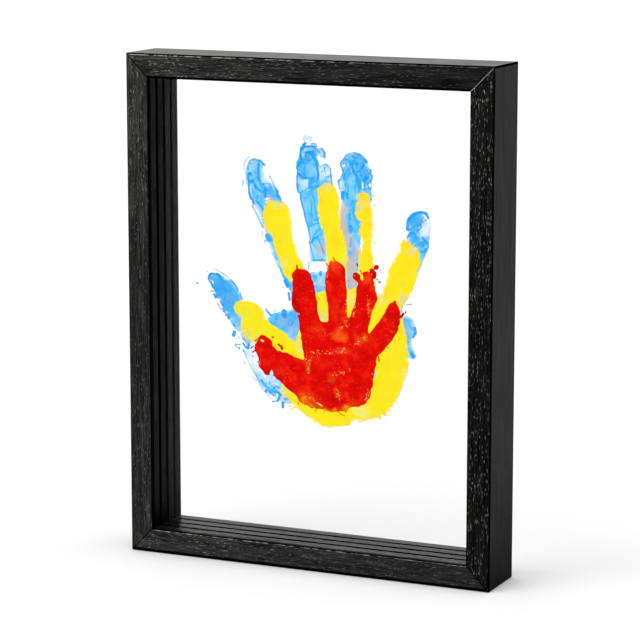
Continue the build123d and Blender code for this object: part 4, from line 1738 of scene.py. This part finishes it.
        Stroke(0.3, ((72.5, 229.5), (73, 225), (72.5, 220)), 0.3, 0.4),
        # Thumb
        Stroke(0.5, ((-84, 180.5), (-83.5, 182.5), (-82.5, 184), (-81, 184.5), (-77, 184))),
        Stroke(0.75, ((-77, 184.5), (-75.5, 183.5), (-73.5, 181))),
        Stroke(0.4, ((-84, 180.5), (-82, 178), (-81, 177)), 0.85, 0.75),
        Stroke(0.35, ((-78.5, 187.5), (-76.5, 186.5), (-74.5, 185.5)), 0.5, 0.45),
        Stroke(0.35, ((-74.5, 185.5), (-71.5, 184), (-69, 182.5), (-67, 181)), 0.55, 0.6),
        Stroke(0.5, ((-67, 181), (-65, 179), (-63, 176.5), (-62, 174.5)), 0.9, 0.85),
        Stroke(0.4, ((-60.5, 173.5), (-60.5, 171.5), (-59, 169)), 0.8, 0.75),
        Stroke(0.4, ((-82, 172.5), (-79.5, 173)), 0.7, 0.6),
        Stroke(0.75, ((-79.5, 170.5), (-78.5, 168.5))),
        Stroke(0.4, ((-77, 164.5), (-75.5, 162), (-74, 161)), 0.7, 0.6),
        Stroke(0.55, ((-73, 160), (-71.5, 159)), 0.85, 0.8),
        Stroke(0.55, ((-71.5, 157.5), (-69.5, 158)), 0.8, 0.75),
        Stroke(0.9, ((-69.5, 156.5), (-69, 155.5))), Stroke(0.4, ((-68, 154.5), (-66, 153.5)), 0.85, 0.8),
        Stroke(0.55, ((-66, 151.5), (-65, 150.5)), 0.8, 0.8),
        Stroke(0.4, ((-71.5, 175.5), (-71, 173), (-71.5, 169.5), (-72.5, 167)), 0.75, 0.6),
        Stroke(0.5, ((-73, 162.5), (-73, 161.5))), Stroke(1.2, ((-65, 146.5), (-65.5, 144.5)), 0.7, 0.85),
        Stroke(0.3, ((-63, 145), (-61.5, 143)), 0.7, 0.55),
        # Ball of the thumb and heel of the palm
        Stroke(0.75, ((-56, 143), (-54.5, 141.5), (-54.5, 139), (-55, 137))),
        Stroke(0.65, ((-58.5, 139.5), (-57.5, 138), (-55.5, 136.5))),
        Stroke(0.4, ((-64.5, 138.5), (-60.5, 138.5)), 0.7, 0.7),
        Stroke(0.4, ((-64.5, 138), (-63, 136.5), (-61, 136.5)), 0.6, 0.6),
        Stroke(0.5, ((-58.5, 135), (-57.5, 133.5)), 0.8, 0.75),
        Stroke(0.35, ((-57.5, 132.5), (-56.5, 130.5)), 0.3, 0.6),
        Stroke(0.3, ((-58, 127.5), (-57, 126)), 0.5, 0.4),
        Stroke(0.3, ((-57.5, 134), (-54.5, 127), (-51.5, 121.5), (-47.5, 116.5)), 0.45, 0.45),
        Stroke(0.3, ((-52, 118), (-49, 115.5)), 0.65, 0.5),
        Stroke(0.55, ((-46, 116), (-45, 115.5), (-44, 114), (-42.5, 112.5)), 0.9, 0.8),
        Stroke(0.4, (
            (-42.5, 112.5), (-40.5, 111.5), (-38.5, 110), (-36.5, 109.5), (-35, 108),
        ), 0.8, 0.75),
        Stroke(0.35, ((-39.5, 116.5), (-39.5, 114.5), (-40, 113)), 0.55, 0.55),
        Stroke(0.5, ((-36.5, 111), (-35.5, 112.5), (-34, 113), (-32.5, 112)), 0.75, 0.75),
        Stroke(0.7, ((-42.5, 108.5), (-41.5, 110)), 0.9, 0.85),
        Stroke(0.55, ((-41.5, 110), (-39.5, 109), (-38, 108), (-36.5, 106.5)), 0.7, 0.75),
        Stroke(0.7, ((-35, 109.5), (-33, 108.5), (-31.5, 107.5))),
        Stroke(0.75, ((-31.5, 107.5), (-32.5, 106), (-33.5, 103.5))),
        Stroke(0.4, ((-33.5, 103.5), (-35, 103), (-36.5, 102.5)), 0.9, 0.8),
        Stroke(0.2, ((-45.5, 111.5), (-43.5, 109), (-40.5, 106), (-38, 104)), 0.4, 0.4),
        Stroke(0.9, ((-30, 102.5), (-30, 99.5)), 0.9, 0.9),
        Stroke(0.35, ((-31.5, 102), (-28, 102.5)), 0.7, 0.6),
        Stroke(0.3, ((-27.5, 102.5), (-24, 102.5)), 0.6, 0.45),
        Stroke(1, ((-28.5, 105), (-26, 105.5)), 0.55, 0.75),
        # Between the thumb and the index finger
        Stroke(0.55, ((-42, 163.5), (-39.5, 160.5), (-37.5, 159.5))),
        Stroke(1.55, ((-29, 163), (-28.5, 160)), 0.95, 0.9),
        Stroke(1.1, ((-28, 183), (-26.5, 180)), 0.9, 0.9),
        Stroke(0.85, ((-25.5, 175), (-25, 171)), 0.9, 0.9),
        Stroke(0.4, ((-36, 163.5), (-35.5, 162.5)), 0.6, 0.5),
        Stroke(0.35, ((-22.5, 156.5), (-23.5, 154)), 0.75, 0.6),
        # Right edge of the palm
        Stroke(0.85, ((63, 159), (63.5, 156), (62, 153)), 0.8, 0.8),
        Stroke(1.1, ((61, 142), (62, 140.5)), 0.95, 0.9),
    ),
    covers=(
        Patch(-11, 276.5, 6, -0.6), Patch(0.5, 256.5, 5, -0.3), Patch(-2, 268, 3, -0.2),
        Patch(-41.5, 247.5, 4, -0.3), Patch(-51.5, 257.5, 4, -0.12), Patch(-14.5, 247, 3.5, -0.25),
        Patch(-12.5, 273, 2, -0.6), Patch(12, 248, 3, -0.3), Patch(70, 223, 4, -0.55),
        Patch(67.5, 218.5, 3, -0.35), Patch(-47.5, 226.5, 3.5, -0.4), Patch(-49.5, 132.5, 9, -0.68),
        Patch(-42, 122, 7.5, -0.52), Patch(-52, 139, 3.5, -0.25), Patch(-30.5, 107, 5.5, -0.35),
        Patch(-45, 108, 4, -0.6), Patch(-71, 183.5, 3, -0.3), Patch(-81, 167.5, 2, -0.3),
        Patch(-39.5, 202.5, 3.5, -0.3), Patch(-14, 268, 3, -0.2), Patch(-62.5, 145, 3.5, -0.45),
        Patch(60.5, 149, 3, -0.3), Patch(-61, 138.5, 3.5, -0.5), Patch(-38.5, 105, 3.5, -0.5),
        Patch(-35, 114.5, 3.5, -0.2),
    ),
    tones=(
        Patch(-26, 158, 9, 0.2), Patch(-46, 246, 13, -0.12), Patch(-72.5, 177, 9, 0.38),
        Patch(-66, 164.5, 7, 0.33), Patch(60.5, 227.5, 4, 0.35), Patch(65, 220, 8, 0.15),
        Patch(70, 223, 4, -0.35), Patch(0.5, 255.5, 5, -0.35), Patch(-51, 256.5, 4, -0.2),
        Patch(-41.5, 247.5, 3.5, -0.3), Patch(-38.5, 240.5, 4, 0.15), Patch(-14.5, 247, 3.5, -0.35),
        Patch(-11.5, 257.5, 6.5, 0.08), Patch(-15, 267, 2, -0.25), Patch(27.5, 254.5, 5.5, 0.15),
        Patch(20.5, 251.5, 3.5, -0.1), Patch(12, 248, 3, -0.4), Patch(-48.5, 132, 10, -0.35),
        Patch(-39, 120.5, 7, -0.35), Patch(-29, 180.5, 4, 0.35), Patch(-25.5, 173, 3.5, 0.3),
        Patch(58.5, 160, 4, -0.1), Patch(61, 142, 3.5, 0.35), Patch(-71, 183.5, 3, -0.4),
        Patch(-56.5, 140.5, 3.5, 0.15), Patch(-6, 205, 5.5, -0.1), Patch(-5.5, 185.5, 5.5, -0.2),
        Patch(-39, 210.5, 3.5, 0.15),
    ),
    stains=(
        Patch(-2.5, 206, 3.5, 1), Patch(12, 234, 3, 1.1), Patch(12, 229, 3, 1.1), Patch(12, 223, 3, 1.1),
        Patch(12.5, 219, 3, 1.1), Patch(15.5, 213, 4, 1.1), Patch(15.5, 208, 3, 1),
        Patch(23.5, 205, 4, 1.1), Patch(19, 198.5, 4, 1), Patch(19.5, 192, 4.5, 1),
        Patch(20, 185, 4, 0.9), Patch(-38, 236, 3, 0.5), Patch(-30, 157, 4, 0.4), Patch(-21, 152, 6, 0.3),
        Patch(-33.5, 148, 2, 0.35), Patch(-2, 183, 3, 0.5), Patch(-69, 169, 3, 0.15),
        Patch(-30.5, 105, 2, 0.5), Patch(13, 246, 2, 0.35), Patch(-62.5, 151, 2, 0.35),
        Patch(55, 157, 5, 0.35),
    ),
    drops=(
        Pad(-92, 177.5, 0.8), Pad(-63.5, 142.5, 0.5), Pad(-61.5, 135.5, 0.6), Pad(-84.5, 185.5, 0.4),
        Pad(11, 265, 0.4), Pad(-68, 146, 0.3), Pad(-37, 102.5, 0.6), Pad(-36, 161.5, 0.3),
        Pad(17, 269, 0.3), Pad(-44.5, 205, 0.3),
    ),
    base_cover=0.975,
    base_tone=0.46,
    edge_fade=0.55,
    fade_width=2.6,
    ragged=0.7,
    teeth=0.5,
    teeth_size=(1.8, 1.8),
    web=2.0,
    step=0.55,
)


@dataclass
class WoodFrame:
    """The four mitred lengths of moulding, each a little different in tone and shine; the left stile's
    lighter ground and the right stile's darker one are painted light from the left.
    """

    finishes: tuple[BrushedBlackWood, ...] = (
        BrushedBlackWood(
            "bottom_rail", Grain.ALONG_RAIL, 3.1, (0, 0, 1), fleck="#aaa6a0", sheen=0.13,
            shine_swing=(0.55, 1.5), light_along=(1.42, 0.92, 0.64), foot_shade=2.2,
        ),
        # Lighter ground, streaks and planed faces: painted light, as the light falls from the left.
        BrushedBlackWood(
            "left_stile", Grain.ALONG_STILE, 7.7, (1, 0, 0), ground="#161616", streak="#3b3b39",
            planed="#121211", fleck="#979490", sheen=0.02, shine_swing=(0.7, 1.25),
            light_along=(1.15, 0.74, 1.75), groove_shade=1.9, front_shade=0.3,
        ),
        # Darker ground and streaks: painted shade on the side away from the light.
        BrushedBlackWood(
            "right_stile", Grain.ALONG_STILE, 15.3, (-1, 0, 0), ground="#040404", streak="#1e1e1d",
            streak_size=(30.0, 0.4), planed="#0f0f0e", planed_swing=1.15, fleck="#b8b4ad", sheen=0.02,
            shine_swing=(0.7, 1.25), light_along=(1.15, 0.78, 1.5), low_shade=(90.0, 0.35), bare_and_lit_seam=(-0.5, 0.5),
        ),
        BrushedBlackWood(
            "top_rail", Grain.ALONG_RAIL, 21.9, (0, 0, -1), sheen=0.075, light_along=(2.0, 0.8, 0.22),
            foot_shade=1.8,
        ),
    )

    def dress(self, nodes: dict[str, bpy.types.Object]) -> None:
        """Give each length its own stretch of the brushed grain.

        Args:
            nodes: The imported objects, by name.
        """
        for wood in self.finishes:
            dress(nodes[wood.name], wood.material())
            LOG.info("%s: brushed black ash, grain %s", wood.name, wood.grain.name.lower())


@dataclass
class Panes:
    """The three clear sheets in their grooves."""

    names: tuple[str, ...] = ("front_pane", "middle_pane", "back_pane")

    def dress(self, nodes: dict[str, bpy.types.Object]) -> None:
        """Give all three the one clear sheet.

        Args:
            nodes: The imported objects, by name.
        """
        sheet = ClearAcrylic().material()
        for name in self.names:
            dress(nodes[name], sheet)
            LOG.info("%s: clear cast acrylic", name)


@dataclass
class Hardware:
    """The nails, pins and magnets, which show only when the top rail is off."""

    finishes: tuple[tuple[WorkedMetal, tuple[str, ...]], ...] = (
        (WorkedMetal("pressed_nail_steel", "#8b8c8e", 0.38, (0.3, 3.0, 0.3)), ("v_nails",)),
        (WorkedMetal("drawn_pin_steel", "#a9aaac", 0.3, (0.2, 0.2, 4.0)), ("locating_pins",)),
        (
            WorkedMetal("nickel_plate", "#c8c6c0", 0.2, (0.8, 0.8, 0.8)),
            ("stile_magnets", "top_rail_magnets"),
        ),
    )

    def dress(self, nodes: dict[str, bpy.types.Object]) -> None:
        """Give each kind of fitting its metal.

        Args:
            nodes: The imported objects, by name.
        """
        for metal, names in self.finishes:
            material = metal.material()
            for name in names:
                dress(nodes[name], material)
                LOG.info("%s: %s", name, metal.name)


@dataclass
class Studio:
    """A white floor and surroundings, soft light from the front left, and the photograph's camera.

    The camera's distance, target and lens and the gap under the object are in mm, the floor's size
    and the camera's reach in m, and angles in degrees.
    """

    azimuth: float = 24.4496
    elevation: float = 10.1897
    distance: float = 1764.9433
    target: tuple[float, float, float] = (1.1148, 0.0, 161.1867)
    lens: float = 154.57
    sensor: float = 36.0
    reach: Pair = (0.05, 100.0)
    floor_size: float = 40.0
    floor_gap: float = 0.2
    floor_white: str = "#f4f4f4"
    near_level: float = 0.8
    far_level: float = 1.0
    level_range: Pair = (-0.7, 0.5)
    sun_from: tuple[float, float, float] = (-0.4, -0.75, 0.95)
    sun_level: float = 1.25
    sun_spread: float = 50.0
    clear_faces: int = 32

    def camera(self) -> None:
        """Stand the camera where the photograph was taken from."""
        turn, rise = math.radians(self.azimuth), math.radians(self.elevation)
        back = Vector((math.sin(turn) * math.cos(rise), -math.cos(turn) * math.cos(rise), math.sin(rise)))
        data = bpy.data.cameras.new("camera")
        data.lens, data.sensor_width = self.lens, self.sensor
        data.clip_start, data.clip_end = self.reach
        obj = bpy.data.objects.new("camera", data)
        obj.location = (Vector(self.target) + back * self.distance) * MM
        obj.rotation_euler = (-back).to_track_quat("-Z", "Y").to_euler()
        bpy.context.scene.collection.objects.link(obj)
        bpy.context.scene.camera = obj

    def floor(self) -> None:
        """Lay a white floor that keeps the object's shadow."""
        half, low = self.floor_size / 2, -self.floor_gap * MM
        mesh = bpy.data.meshes.new("floor")
        corners = [(-half, -half, low), (half, -half, low), (half, half, low), (-half, half, low)]
        mesh.from_pydata(corners, [], [(0, 1, 2, 3)])
        material, tree = new_material("white_paper_floor")
        matt = add(tree, "ShaderNodeBsdfDiffuse", Color=linear(self.floor_white))
        add(tree, "ShaderNodeOutputMaterial", Surface=matt)
        mesh.materials.append(material)
        obj = bpy.data.objects.new("floor", mesh)
        bpy.context.scene.collection.objects.link(obj)

    def light(self) -> None:
        """Light the room: white behind and above, dimmer behind the camera, and one wide soft lamp."""
        world = bpy.data.worlds.new("studio")
        bpy.context.scene.world = world
        world.use_nodes = True
        tree = world.node_tree
        tree.nodes.clear()
        look = add(tree, "ShaderNodeTexCoord", out="Generated")
        behind = add(tree, AXIS, out="Y", Vector=look)
        low, high = self.level_range
        level = add(
            tree, MAP_RANGE, SMOOTH, Value=behind, From_Min=low, From_Max=high,
            To_Min=self.near_level, To_Max=self.far_level,
        )
        seen = add(tree, "ShaderNodeLightPath", out="Is Camera Ray")
        strength = add(tree, MATH, LARGER, Value=seen, Value_001=level)
        sky = add(tree, "ShaderNodeBackground", Color=WHITE, Strength=strength)
        add(tree, "ShaderNodeOutputWorld", Surface=sky)
        data = bpy.data.lights.new("soft_key", "SUN")
        data.energy, data.angle = self.sun_level, math.radians(self.sun_spread)
        obj = bpy.data.objects.new("soft_key", data)
        obj.rotation_euler = Vector(self.sun_from).to_track_quat("Z", "Y").to_euler()
        bpy.context.scene.collection.objects.link(obj)

    def build(self) -> None:
        """Set up the whole studio."""
        self.camera()
        self.floor()
        self.light()
        scene = bpy.context.scene
        scene.view_settings.view_transform = "Standard"
        # Three panes and three films lie one behind another, so rays pass many clear faces.
        scene.cycles.transparent_max_bounces = self.clear_faces
        LOG.info("studio: camera, floor and light")


def main() -> None:
    """Build every piece in order."""
    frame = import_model()
    nodes = frame["nodes"]
    Studio().build()
    WoodFrame().dress(nodes)
    Panes().dress(nodes)
    Hardware().dress(nodes)
    for hand in (RED_PRINT, YELLOW_PRINT, BLUE_PRINT):
        for piece in hand.build():
            LOG.info("%s: %d faces", piece.name, len(piece.data.polygons))


if __name__ == "__main__":
    logging.basicConfig(level=logging.INFO, format="%(name)s: %(message)s")
    main()
